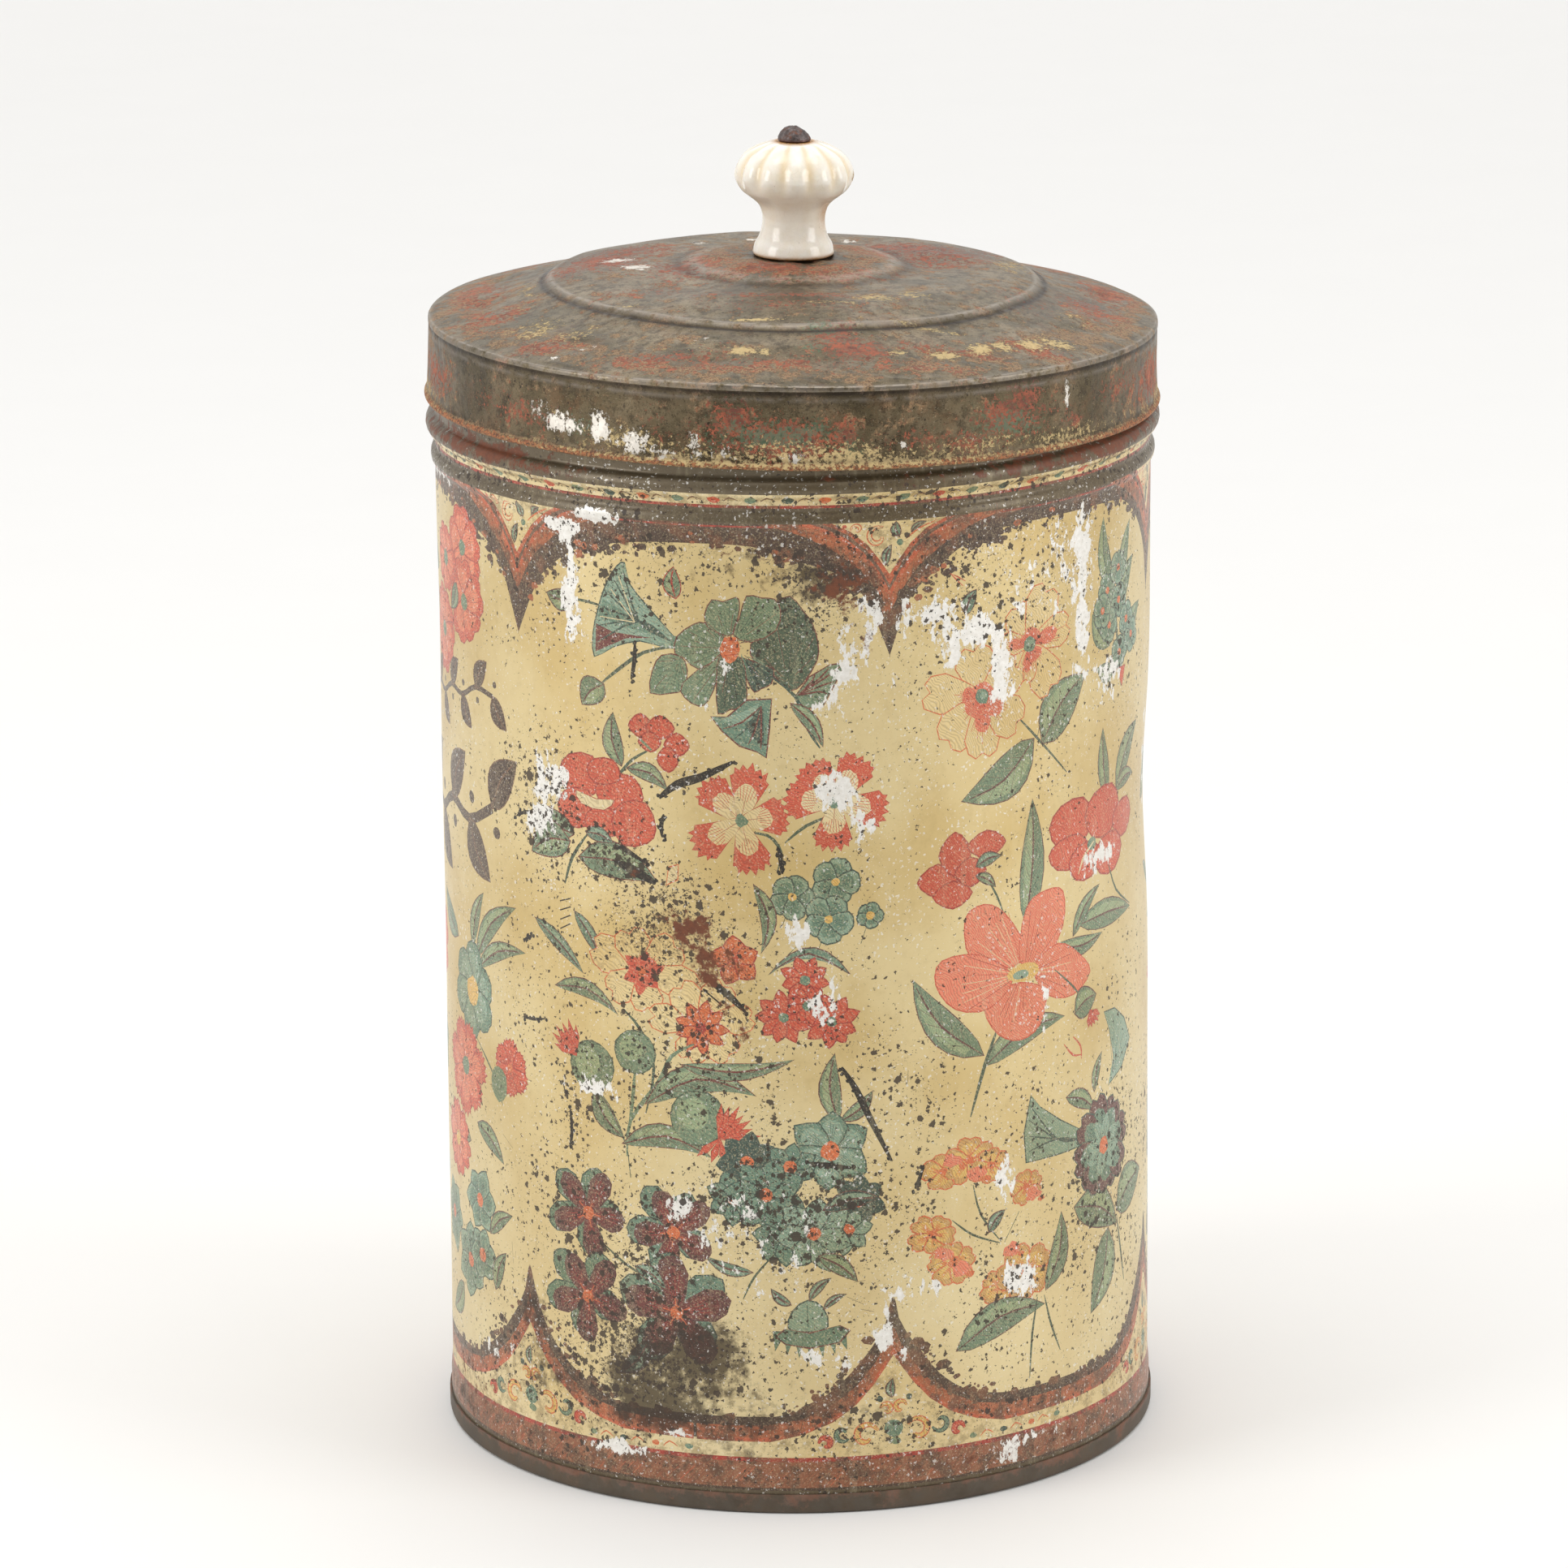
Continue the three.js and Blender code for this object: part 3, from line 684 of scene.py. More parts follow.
def draw_spike(p):
    """The tall green and teal spike by the right edge."""
    p.stroke([(86, 168), (84, 178), (82, 190), (79, 200)], 1.0, "green_dark")
    for x0, y0, x1, y1, w in ((80, 190, 77, 206, 4.4), (86, 190, 90, 203, 4), (80, 178, 73, 186, 5),
            (86, 174, 97, 184, 6), (84, 184, 92, 195, 5), (82, 172, 75, 174, 4)):
        p.leaf(x0, y0, x1, y1, w, "green", 0.08, "green_dark", 3)
    for x, y in ((79, 190), (84.4, 187), (88.6, 182), (80, 182.4), (85, 175.6), (91.6, 178), (77, 186),
            (84, 194)):
        p.flower(x, y, 3.6, 5, "teal", "teal_light", "teal_dark", "round", x * 17, "flame", 0.8, 1.1, 0)
    p.outlined([(84, 172), (88, 172), (86.4, 168)], "red", "red_dark")


def draw_right_reds(p):
    """The broad red bloom near the edge, seen a little from the side."""
    for leaf in ((79.6, 145, 77.4, 160.6, 4.4, "green", 0.05, "plum", 3),
            (84, 146, 97, 158, 6.6, "green", 0.1, "plum", 4),
            (84, 146, 95, 147, 3.6, "green", 0.1, "plum", 2)):
        p.leaf(*leaf)
    for x, y, rx, ry in ((66, 142.4, 7.2, 4.8), (78, 142.6, 7.4, 5), (88, 139, 5.6, 3.6),
            (65, 136.4, 6.4, 3.2), (70.6, 133.4, 5.6, 3.6), (80.6, 133, 6.4, 4)):
        p.outlined(loop_curve([(x + rx, y), (x + rx * 0.5, y + ry), (x - rx * 0.5, y + ry * 0.9),
            (x - rx, y + 0.4), (x - rx * 0.6, y - ry * 0.9), (x + rx * 0.4, y - ry)], 2), "red",
            "red_dark", 0.45)
        for k in range(5):
            p.stroke([(x - 0.4 + 0.5 * k, y - ry * 0.5), (x - 2.4 + 1.6 * k, y + ry * 0.65)], 0.3,
                "red_light")
    p.blob(73, 136.6, 1.8, 1.4, "teal")
    p.stroke([(68, 131), (70, 134.4), (74, 137)], 0.6, "cream")
    p.stroke([(80, 131), (84, 124), (92, 119)], 0.6, "green_dark")


def draw_side_bloom(p):
    p.stroke([(40.5, 137), (44, 131), (45.8, 126.6)], 0.5, "green_dark")
    for x, y, rx, ry in ((30, 136, 4.4, 3.4), (34, 141.2, 3.6, 4.6), (41.6, 142.4, 4.6, 2.8),
            (33.4, 132.6, 4.4, 2.8), (37.6, 137, 3.6, 3)):
        p.outlined(loop_curve([(x + rx, y), (x, y + ry), (x - rx, y), (x, y - ry)], 3), "red", "red_dark")
        for k in range(3):
            p.stroke([(39, 137.4), (x - 1 + k, y + 1.2 - k)], 0.3, "red_light")
    p.leaf(39, 138, 45, 139.4, 2.6, "teal", 0.1, veins=0)
    p.leaf(39, 136, 43.6, 133, 2, "green", 0.1, veins=0)


def draw_great_red(p):
    """The large open red flower at the middle of the right panel."""
    for leaf in ((51.6, 123.4, 53.6, 150, 6.4, "green", -0.04, "plum", 5),
            (40.6, 97, 24.4, 115.2, 7, "green", 0.1, "plum", 5),
            (41, 94.6, 63, 101.2, 6, "green", 0.12, "plum", 5),
            (60, 117, 77, 116.4, 4, "green", -0.08, "plum", 3),
            (68, 120, 92, 118.4, 6, "green", 0.04, "plum", 4),
            (66, 118, 76, 127, 3.4, "green", 0.1, "plum", 2)):
        p.leaf(*leaf)
    p.stroke([(44.5, 103), (41, 95), (37.4, 84)], 0.9, "green_dark")
    lobes = (((48, 115), (38, 118), (36.4, 127), (41, 129.4), (46, 126.6), (51, 119)),
             ((50, 116), (52, 127), (57.6, 129.6), (62.6, 128.4), (62.4, 121), (56, 114)),
             ((54, 113.6), (61, 117.4), (68, 113.6), (72, 109), (66, 105.4), (58, 107)),
             ((50, 111), (57, 108), (55.4, 101), (50, 98.8), (44.4, 101), (41, 106.6), (44, 109.6)),
             ((48, 112.6), (40, 118.6), (31, 118.6), (29.6, 113.6), (34, 108), (42, 107)))
    for lobe in lobes:
        p.outlined(loop_curve(list(lobe), 3), "red_light", "red", 0.3)
    for lobe in lobes:
        cx = sum(q[0] for q in lobe) / len(lobe)
        cy = sum(q[1] for q in lobe) / len(lobe)
        for k in range(7):
            a = math.atan2(cy - 113, cx - 51) + (k - 3) * 0.13
            d = math.hypot(cx - 51, cy - 113)
            p.stroke([(51 + 3.4 * math.cos(a), 113 + 2.4 * math.sin(a)),
                (51 + (d + 2) * math.cos(a), 113 + (d + 2) * math.sin(a))], 0.36,
                random.choice(["red", "red_dark", "cream"]))
    p.blob(51, 113.2, 4.6, 1.9, "yellow", 0.08, 14)
    p.blob(50.4, 112.8, 2.2, 1.0, "teal_light", 0.1)


def draw_right_mid(p):
    """Buds, two bells and the dark teal bloom low on the right."""
    p.stroke([(60, 112), (66, 107), (69, 103.6)], 0.5, "green_dark")
    p.leaf(66.6, 101, 74.4, 103.4, 6.6, "green", 0.1, "plum", 3)
    p.tuft(72, 100.4, 300, 4.6, count=5)
    p.stroke([(63, 95), (66, 92), (69, 91.4)], 0.5, "red")
    p.stroke([(66, 96), (68.6, 93.4), (69, 90.4)], 0.5, "red")
    p.leaf(74, 82, 77, 90, 2.6, "green", 0.1, veins=0)
    p.outlined([(78, 98.4), (83, 98), (88, 94.6), (91.4, 89.4), (86.6, 84.4), (80, 82), (82.4, 88),
        (80.4, 94)], "teal_light", "teal_dark")
    for k in range(5):
        p.stroke([(80 + 2.6 * k, 97.4 - 2 * k), (82, 84)], 0.4, "teal_dark")
    p.outlined([(53.2, 85.8), (56, 82.6), (62, 78.4), (70, 74.2), (70, 71.2), (62, 71.2), (52, 71.4),
        (51.4, 78)], "teal_light", "teal_dark")
    for y in (84, 80.6, 77, 73.6):
        p.stroke([(52.6, y), (61, 74.6), (69, 72.6)], 0.45, "teal_dark")
    for leaf in ((64, 83, 74, 78, 4, "green", 0.1, "plum", 2),
            (67, 58, 84, 50, 9, "green", 0.1, "plum", 4), (84, 53, 99, 58, 10, "green", 0.1, "plum", 4),
            (80, 50, 72.6, 33, 9, "green", 0.1, "plum", 4)):
        p.leaf(*leaf)
    p.stroke([(84, 52), (86, 44), (88, 36)], 0.7, "green_dark")
    p.flower(78, 69, 10.6, 8, "teal", "plum", "teal_dark", "notch", 10, "flame", 1.9, 1.2, 3, "teal_dark")
    p.flower(78, 69, 7, 8, "teal_light", None, None, "point", 32, "flame", 1.9, 0.8, 1, "teal_dark")


def draw_yellows(p):
    """Small yellow and orange blooms low on the right panel."""
    for line in (([(38, 69), (40, 62), (45, 55.4)], 0.5, "green_dark"),
            ([(50, 61), (46, 55)], 0.5, "green_dark"),
            ([(33, 62), (38, 58), (45, 55)], 0.5, "green_dark")):
        p.stroke(*line)
    for x, y, r, n, turn, sq in ((31, 73, 5, 4, 80, 0.7), (37, 74.6, 6, 5, 90, 0.8),
            (42.4, 72.6, 4.4, 4, 10, 0.8), (52, 66, 4.4, 5, 30, 0.8), (28.5, 59.5, 5, 5, 60, 0.8),
            (33, 52.4, 5.6, 5, 20, 0.8), (45, 45.6, 5, 5, 70, 0.8), (51.6, 47.4, 7.4, 5, 40, 0.8)):
        p.flower(x, y, r, n, "yellow", "gold", "flame", "notch", turn, "flame", 1.1, 1.0, 4, "flame", sq)
    for x, y in ((33, 75), (39, 71.4), (31, 55), (35, 51), (54, 64), (48, 53)):
        p.blob(x, y, 2.2, 1.5, "red_light", 0.3)
        p.blob(x + 2.4, y - 1.4, 1.0, 0.7, "flame", 0.3)
    p.leaf(57.5, 42, 62.6, 58, 5.4, "green", -0.12, "plum", 4)
    p.leaf(34, 33, 57, 39, 7.6, "green", 0.12, "plum", 5)
    p.stroke([(55, 41), (53.4, 33), (52.6, 23.4)], 0.6, "green_dark")
    p.stroke([(57, 41), (59, 34), (61.8, 27.6)], 0.6, "green_dark")
    p.leaf(42, 58, 46, 62, 2.6, "teal", 0.1, veins=0)


def draw_right(p):
    draw_line_flowers(p)
    draw_spike(p)
    draw_right_reds(p)
    draw_side_bloom(p)
    draw_great_red(p)
    draw_right_mid(p)
    draw_yellows(p)


# ---------------------------------------------------------------- left panel

def draw_garland(p, start, end, leaf, count):
    """A dark row of plain leaves on a wavy stalk, in place of lettering."""
    (x0, y0), (x1, y1) = start, end
    line = [(x0 + (x1 - x0) * k / count, y0 + (y1 - y0) * k / count + leaf * 0.12 * (-1) ** k)
        for k in range(count + 1)]
    p.stroke(line, leaf * 0.15, "dark", False)
    for k, (x, y) in enumerate(line):
        way = (-1) ** k
        p.leaf(x, y, x + leaf * 0.62, y + way * leaf * 0.78, leaf * 0.56, "dark", 0.1 * way, "umber", 0)
        p.blob(x + leaf * 0.1, y - way * leaf * 0.34, leaf * 0.09, leaf * 0.09, "dark")


def draw_left(p):
    for x, y, r in ((-88, 198.5, 8.6), (-87.6, 187, 8.6), (-103, 178, 9), (-100, 194, 7)):
        p.flower(x, y, r, 5, "red_light", "red", "red_dark", "notch", x * 3, "teal", 1.8, 1.1, 3,
            "red_dark")
    for leaf in ((-92, 190, -96, 184, 4, "teal", 0.1, "plum", 2),
            (-110, 190, -122, 198, 7, "green", 0.1, "plum"),
            (-112, 184, -126, 182, 7, "green", 0.1, "plum")):
        p.leaf(*leaf)
    p.flower(-122, 190, 8, 6, "teal_light", "teal", "teal_dark", "round", 10, "flame", 1.8)
    draw_garland(p, (-141, 159), (-75, 170), 8, 9)
    draw_garland(p, (-142, 136), (-76, 143), 15, 6)
    for leaf in ((-85, 110, -68, 124.6, 5, "green", 0.1, "plum"),
            (-84, 108, -65, 115.4, 4, "green", 0.1, "plum"),
            (-87, 112, -81, 125, 4, "green", 0.1, "plum")):
        p.leaf(*leaf)
    p.flower(-87.6, 102, 10, 6, "teal_light", "teal", "teal_dark", "round", 20, "yellow", 3.2, 1.15, 3,
        "teal_dark")
    p.leaf(-96, 112, -108, 120, 6, "teal", 0.1)
    p.flower(-116, 108, 9, 5, "red_light", "red", "red_dark", "notch", 20, "yellow", 1.8)
    p.stroke([(-86, 92), (-78, 86), (-74, 80)], 0.6, "green_dark")
    p.flower(-92.6, 84, 10, 7, "red_light", "red", "red_dark", "jag", 12, "teal", 2.2, 1.1, 3, "red_dark")
    p.flower(-71, 89, 5.8, 6, "red", None, "red_dark", "jag", 30, "flame", 1, 1.1, 2, "red_dark")
    p.blob(-75.6, 84.6, 3.6, 4, "green")
    p.leaf(-86, 73, -74, 67, 4.6, "green", 0.1, "plum")
    p.leaf(-90, 68, -104, 74, 6, "green", 0.1, "plum")
    p.flower(-99, 66, 8, 6, "red_light", "red", "red_dark", "notch", 40, "yellow", 1.8)
    for x, y, r in ((-85, 56, 7), (-90.6, 41, 8), (-84, 44, 6), (-118, 84, 8), (-120, 56, 9),
            (-104, 48, 8)):
        p.flower(x, y, r, 6, "teal", "teal_light", "teal_dark", "point", x * 7, "flame", 1.6, 1.1, 2,
            "teal_dark")
    for leaf in ((-80, 50, -71, 56, 3.6, "green", 0.1, "plum", 3),
            (-78, 38, -73.6, 47, 4, "green", 0.1, "plum", 3),
            (-96, 34, -106, 26, 6, "green", 0.1, "plum")):
        p.leaf(*leaf)
    p.flower(-130, 70, 8, 5, "yellow", "gold", "flame", "round", 10, "flame", 1.6, 1.1)
    p.leaf(-126, 96, -137, 104, 6, "green", 0.1, "plum")
    p.leaf(-124, 44, -134, 52, 6, "green", 0.1, "plum")


# ---------------------------------------------------------------- scratches

def draw_scratches(p):
    """Old scrapes through the print, dark with age, and a few bright ones."""
    dark = (((-29, 154.4), (-25, 157.6), (-20, 159.4), (-13, 163), 1.9),
        ((-28, 151), (-28.6, 148.6), (-28.4, 146), 1.0), ((-39, 139.6), (-35, 138.2), (-30, 136), 2.2),
        ((-39.6, 143.2), (-36, 142), (-32, 140), 1.0), ((-3.8, 145), (-3.2, 142), (-3, 139.4), 1.1),
        ((9, 97.6), (12, 92.6), (15, 86), (19.5, 76.6), 1.5),
        ((-66, 101.4), (-62.6, 101.6), (-59, 102.4), 0.7), ((-34, 187), (-34.2, 183), (-35, 179), 1.0),
        ((2, 77), (6, 76.4), (11, 75.6), 1.2), ((-67, 145), (-64, 146.4), (-60, 147), 0.8),
        ((26.6, 75), (25.4, 71.6), (24.6, 70), 0.9), ((-65, 118.6), (-63.4, 119.4), (-62.6, 119.6), 0.8),
        ((-19, 116), (-15, 113.4), (-11, 109.6), 1.6), ((-20, 114), (-16, 110.8), 1.0),
        ((-52, 84), (-51.6, 79), (-52.2, 76), 0.9), ((-54, 90), (-53.4, 87.6), 0.9))
    for *points, width in dark:
        p.stroke(points, width, "black", True, 0.4)
        for x, y in curve(points, 3):
            p.blob(x + random.uniform(-0.7, 0.7), y + random.uniform(-0.7, 0.7), 0.5, 0.5, "black", 0.4,
                7, 0.4)
    for k in range(4):
        p.stroke([(-54, 129 - 2 * k), (-51, 130 - 1.8 * k)], 0.8, "black", True, 0.4)
    for k in range(26):
        u, z = random.choice([(-60, 60), (20, 62), (30, 95), (60, 70), (-10, 60), (70, 160), (-120, 90),
            (-180, 120)])
        x, y = u + random.uniform(-18, 18), z + random.uniform(-24, 24)
        p.stroke([(x, y), (x + random.uniform(-1, 4), y + random.uniform(-5, 2))], 0.25, "rim", True, 0.3)


# ---------------------------------------------------------------- the wall's shape and wear

WALL_LINE = ([(76.55, WALL_LOW), (76.55, 8.6), (76.2, 12.6)] + arc(74.7, 213.5, 2.4, -51.3, 51.3, 24)
             + arc(75.8, 220.4, 2.3, -80, 80, 32) + [(76.2, WALL_TOP)])
WALL_ROWS = ([WALL_LOW, 3, 5.3, 8.6, 10.6, 12.6] + [20 + 7.6 * i for i in range(25)]
    + [209.5 + 0.42 * i for i in range(34)] + [226, 230, 234, WALL_TOP])
DENTS = [(112, 140, 26, 20, 1.3), (-20, 118, 16, 12, 0.45), (30, 182, 11, 14, 0.35),
    (60, 60, 14, 20, 0.4), (-85, 90, 14, 30, 0.4), (6, 200, 9, 8, 0.4), (-150, 120, 30, 26, 0.9),
    (170, 80, 24, 30, 0.8), (-50, 40, 12, 14, 0.3)]
RUST_SPOTS = [(10, 200, 7, 6, 0.9), (60, 9, 40, 3.4, 0.6), (-23, 128, 8, 6, 1.0), (-16, 117, 7, 7, 0.8),
    (-6, 207, 18, 3, 0.6), (16, 188, 3, 6, 0.6), (-30, 210, 40, 2.6, 0.5), (45, 212, 30, 3, 0.5),
    (20, 196, 6, 8, 0.45), (-64, 196, 6, 10, 0.4), (8, 205, 8, 4, 0.55), (-22.5, 128.5, 5.5, 4.5, 1.1),
    (-13.5, 128.5, 2.4, 2.4, 1.0), (-18, 118, 5, 5, 1.0), (-14.5, 110, 3.6, 4, 0.8),
    (-11.5, 104, 2.4, 3, 0.8), (-24, 122, 8, 8, 0.5), (-33, 137, 5, 3, 0.6), (-20, 33, 5, 5, 0.6),
    (-10, 74, 4, 4, 0.5), (100, 16, 30, 7, 0.6), (-90, 14, 26, 8, 0.6), (0, 9, 400, 2.6, 0.3),
    (80, 222, 60, 3.5, 0.9), (-80, 222, 40, 3.5, 0.9), (20, 222.5, 60, 1.2, 0.5), (0, 200, 4, 4, 0.4),
    (2, 61, 2.4, 2.4, 0.8), (-170, 60, 20, 14, 0.6), (190, 150, 12, 22, 0.5), (150, 30, 30, 8, 0.5)]
GRIME_SPOTS = [(6, 202, 9, 5, 0.95), (-55, 9, 24, 3, 0.5), (16, 8, 14, 2.6, 0.45), (-96, 9, 24, 4, 0.6),
    (88, 8, 14, 3, 0.4), (-26, 31, 17, 9, 1.0), (-31, 22, 13, 6, 1.15), (-10, 20, 22, 4, 0.6),
    (12, 22, 14, 5, 0.55), (-60, 24, 10, 5, 0.7), (60, 19, 26, 4, 0.45), (0, 9, 400, 2.4, 0.35),
    (0, 218.2, 400, 1.6, 0.3), (-20, 207.6, 50, 1.6, 0.55), (50, 208.6, 40, 1.6, 0.4),
    (0, 14, 400, 2, 0.25), (-20, 35, 7, 6.5, 1.3), (-38, 28, 4.4, 3.6, 1.1), (-33, 21, 6, 6, 1.1),
    (-29, 30, 12, 9, 0.6), (-46, 42, 9, 8, 0.45), (-20, 46, 9, 8, 0.5), (-6, 205, 24, 5, 0.5),
    (2, 200, 5, 6, 0.5), (-30, 122, 16, 12, 0.35), (-64, 36, 5, 8, 0.8), (-52, 210, 12, 4, 0.3),
    (-66, 160, 8, 12, 0.2), (-12, 14, 5, 4, 0.8), (62, 60, 9, 12, 0.25), (-45, 138, 14, 6, 0.35),
    (-5, 70, 14, 12, 0.25), (90, 50, 10, 20, 0.2), (-140, 40, 20, 16, 0.7), (200, 190, 14, 20, 0.5),
    (-190, 180, 18, 18, 0.4), (0, 30, 60, 8, 0.2), (-55, 100, 6, 60, 0.15), (140, 150, 14, 30, 0.3)]
SPECK_SPOTS = [(6, 200, 10, 8, 1.0), (-40, 200, 5, 6, 0.8), (0, 19, 400, 3, 0.55),
    (-30, 208, 30, 2.4, 0.7), (50, 208, 30, 2.4, 0.6), (0, 217, 400, 3, 0.5), (-52, 82, 4, 12, 0.7),
    (-6, 85, 4, 14, 0.7), (26, 86, 3, 14, 0.6), (32, 86, 3, 14, 0.6), (42, 66, 4, 14, 0.5),
    (58, 64, 5, 12, 0.5), (67, 66, 4, 8, 0.7), (14.5, 121.5, 5, 4, 0.5), (-30, 128, 14, 12, 0.9),
    (-22, 100, 18, 14, 0.5), (-40, 50, 18, 16, 0.7), (-5, 66, 16, 14, 0.75), (8, 70, 10, 12, 0.6),
    (-34, 34, 20, 14, 1.0), (-30, 196, 12, 10, 0.4), (5, 195, 8, 10, 0.5), (40, 200, 20, 8, 0.4),
    (60, 195, 12, 16, 0.5), (-56, 148, 8, 10, 0.8), (-38, 140, 10, 6, 0.9), (0, 30, 400, 8, 0.25),
    (0, 60, 400, 24, 0.22), (-8, 205, 20, 3, 0.8), (44, 38, 16, 12, 0.4), (16, 55, 8, 16, 0.5),
    (78, 60, 14, 20, 0.45), (22, 100, 6, 10, 0.3), (-62, 205, 8, 8, 0.3), (85, 180, 12, 16, 0.3),
    (24, 163.5, 3, 2, 0.8)]
BARE_SPOTS = [(-50, 197, 1.8, 8, 1.0), (-52, 209.4, 4.4, 1.6, 1.1), (-43.5, 213, 4.6, 1.3, 1.1),
    (-48, 186, 2.2, 2.2, 0.9), (-22, 174, 3.6, 1.2, 0.8), (15.5, 192, 2.6, 4, 1.0),
    (11.5, 184, 2.2, 5.6, 0.95), (7, 175.6, 2.4, 3.4, 0.8), (28, 192, 6, 3.4, 1.05),
    (41, 188, 4.4, 2.6, 1.1), (45.5, 178.4, 2.4, 6, 1.15), (34, 183.4, 2, 3, 0.95),
    (22, 177.5, 2.6, 3, 0.9), (68.5, 200, 3.6, 8, 1.0), (69, 186, 3, 9, 0.95), (34, 188.6, 4, 2, 1.0),
    (55, 191, 5, 2, 0.9), (51, 196, 4, 1.6, 0.8), (63, 190, 4, 2, 0.8), (59, 204, 5, 2, 0.7),
    (46, 204, 6, 1.5, 0.6), (0, 127, 2.4, 3, 0.85), (8, 156.5, 3.4, 3.6, 0.95),
    (14, 149.6, 2.4, 2.4, 0.9), (46, 69, 2.2, 4, 0.95), (50, 46.4, 4, 3.6, 0.95),
    (25, 47.6, 5, 2.2, 1.05), (17.6, 39, 2, 3.6, 0.95), (-56, 155, 4.4, 4, 0.95),
    (-59, 146, 3.4, 4.4, 0.9), (4, 33, 7, 3, 0.75), (6, 112, 3.4, 5, 0.7), (-46, 90, 6, 2, 0.75),
    (57, 108, 1.2, 8, 0.7), (76, 133, 7, 2, 0.9), (22, 33, 1.6, 2, 0.6), (-40, 11.4, 6, 1.4, 0.9),
    (50, 10.4, 7, 1.2, 0.75), (4, 11, 5, 1.0, 0.5), (-14, 186, 1.6, 4, 0.6), (-10, 60, 20, 14, 0.45),
    (80, 172, 6, 5, 0.7), (-26, 66, 3, 3, 0.8), (-26, 16.2, 6, 0.7, 0.7), (47, 8.4, 2.6, 2.6, 0.9),
    (-150, 160, 6, 18, 0.8), (200, 100, 6, 16, 0.8), (110, 150, 3, 20, 0.6), (-10, 214.8, 3, 1, 0.5),
    (60, 206, 6, 4, 0.5), (-78, 25, 10, 3, 0.55), (-108, 212, 20, 2, 0.6)]


def radius(z):
    """The wall's outer radius at a height, with its corners slightly eased."""
    line = np.array(WALL_LINE)
    total = np.zeros_like(z, float)
    for shift, share in ((-0.3, 0.25), (0.0, 0.5), (0.3, 0.25)):
        total += share * np.interp(z + shift, line[:, 1], line[:, 0])
    return total


def field(spots, u, z, spread=1.0):
    out = np.zeros_like(u)
    for cu, cz, ru, rz, amount in spots:
        ru, rz = ru * spread, rz * spread
        out = np.maximum(out, amount * np.exp(-(((u - cu) / ru) ** 2 + ((z - cz) / rz) ** 2) * 0.7))
    return out


def wall_dent(u, z):
    """How far the wall is pushed in: a few old dents, and a slow ripple."""
    u = (u + 224.5) % (2 * math.pi * WALL_R) - 224.5
    angle = u / WALL_R
    soft = np.clip((z - 20) / 30, 0, 1) * np.clip((207 - z) / 25, 0, 1)
    dent = np.zeros_like(u)
    for cu, cz, ru, rz, depth in DENTS:
        dent += depth * np.exp(-(((u - cu) / ru) ** 2 + ((z - cz) / rz) ** 2))
    ripple = 0.07 * np.sin(3 * angle + z / 31) + 0.05 * np.sin(5 * angle - z / 17 + 1) + 0.035 * np.sin(9
        * angle + z / 11)
    return soft * (dent + 0.15 + ripple)


def wall_place(u, z):
    """The flat print rolled into the dented wall."""
    angle = u / WALL_R
    r = radius(z) - wall_dent(u, z)
    return np.stack([r * np.sin(angle), -r * np.cos(angle), z], 1)


def wall_normal(u, z):
    du = wall_place(u + 0.2, z) - wall_place(u - 0.2, z)
    dz = wall_place(u, np.minimum(z + 0.1, 238.7)) - wall_place(u, np.maximum(z - 0.1, 1.0))
    n = np.cross(du, dz)
    return n / np.linalg.norm(n, axis=1)[:, None]


def new_object(name, vertices, faces):
    mesh = bpy.data.meshes.new(name)
    mesh.from_pydata([tuple(v) for v in np.asarray(vertices) * MM], [], faces)
    mesh.polygons.foreach_set("use_smooth", [True] * len(faces))
    mesh.update()
    obj = bpy.data.objects.new(name, mesh)
    bpy.context.scene.collection.objects.link(obj)
    return obj


def draw_print():
    p = Print()
    draw_bands(p)
    for k, u in enumerate(across(*CUSPS)):
        p.engraved = k in FRONT_CUSPS
        draw_low_point(p, u, 42)
        draw_top_point(p, u)
        draw_narrow_bands(p, u)
    kinds = ["right", "centre", "centre", "right", "centre", "right"]
    for k, kind in enumerate(kinds):
        draw_ground(p, CUSPS[k], CUSPS[k + 1], kind)
    left, centre, right = (draw_left, CUSPS[1:3]), (draw_centre, CUSPS[2:4]), (draw_right, CUSPS[3:5])
    mirrored = (draw_left, CUSPS[2:0:-1])
    for k, (draw, source) in enumerate([mirrored, left, centre, right, centre, right]):
        p.engraved = k in FRONT_PANELS
        p.place(source, CUSPS[k:k + 2])
        draw(p)
    p.move = (0.0, 0.0, 1.0)
    p.engraved = True
    draw_scratches(p)
    return p


def visible_edges(p):
    """The shapes cut by one another: points, triangles, the ink on top of each, and the edges between inks."""
    flat, _, triangles, _, _, sources = delaunay_2d_cdt([Vector(q) for q in p.points], [], p.loops, 0,
        1e-4, True)
    tops = [max(s, default=0) for s in sources]
    inks = [p.inks[t] + (p.kinds[t],) for t in tops]
    sides = {}
    for k, tri in enumerate(triangles):
        for edge in zip(tri, tri[1:] + tri[:1]):
            sides.setdefault(tuple(sorted(edge)), []).append(inks[k])
    edges = [e for e, both in sides.items() if len(both) == 1 or both[0] != both[1]]
    return flat, triangles, inks, edges


def straightened(flat, edges):
    """The same lines without the points that lie along a straight run."""
    near = {}
    for a, b in edges:
        near.setdefault(a, set()).add(b)
        near.setdefault(b, set()).add(a)
    for v in list(near):
        if len(near[v]) != 2:
            continue
        a, b = near[v]
        side, run = flat[v] - flat[a], flat[b] - flat[a]
        off = abs(side.x * run.y - side.y * run.x) / max(run.length, 1e-6)
        if off < STRAIGHT and b not in near[a]:
            near[a].remove(v)
            near[b].remove(v)
            near[a].add(b)
            near[b].add(a)
            del near[v]
    return [(a, b) for a in near for b in near[a] if a < b]


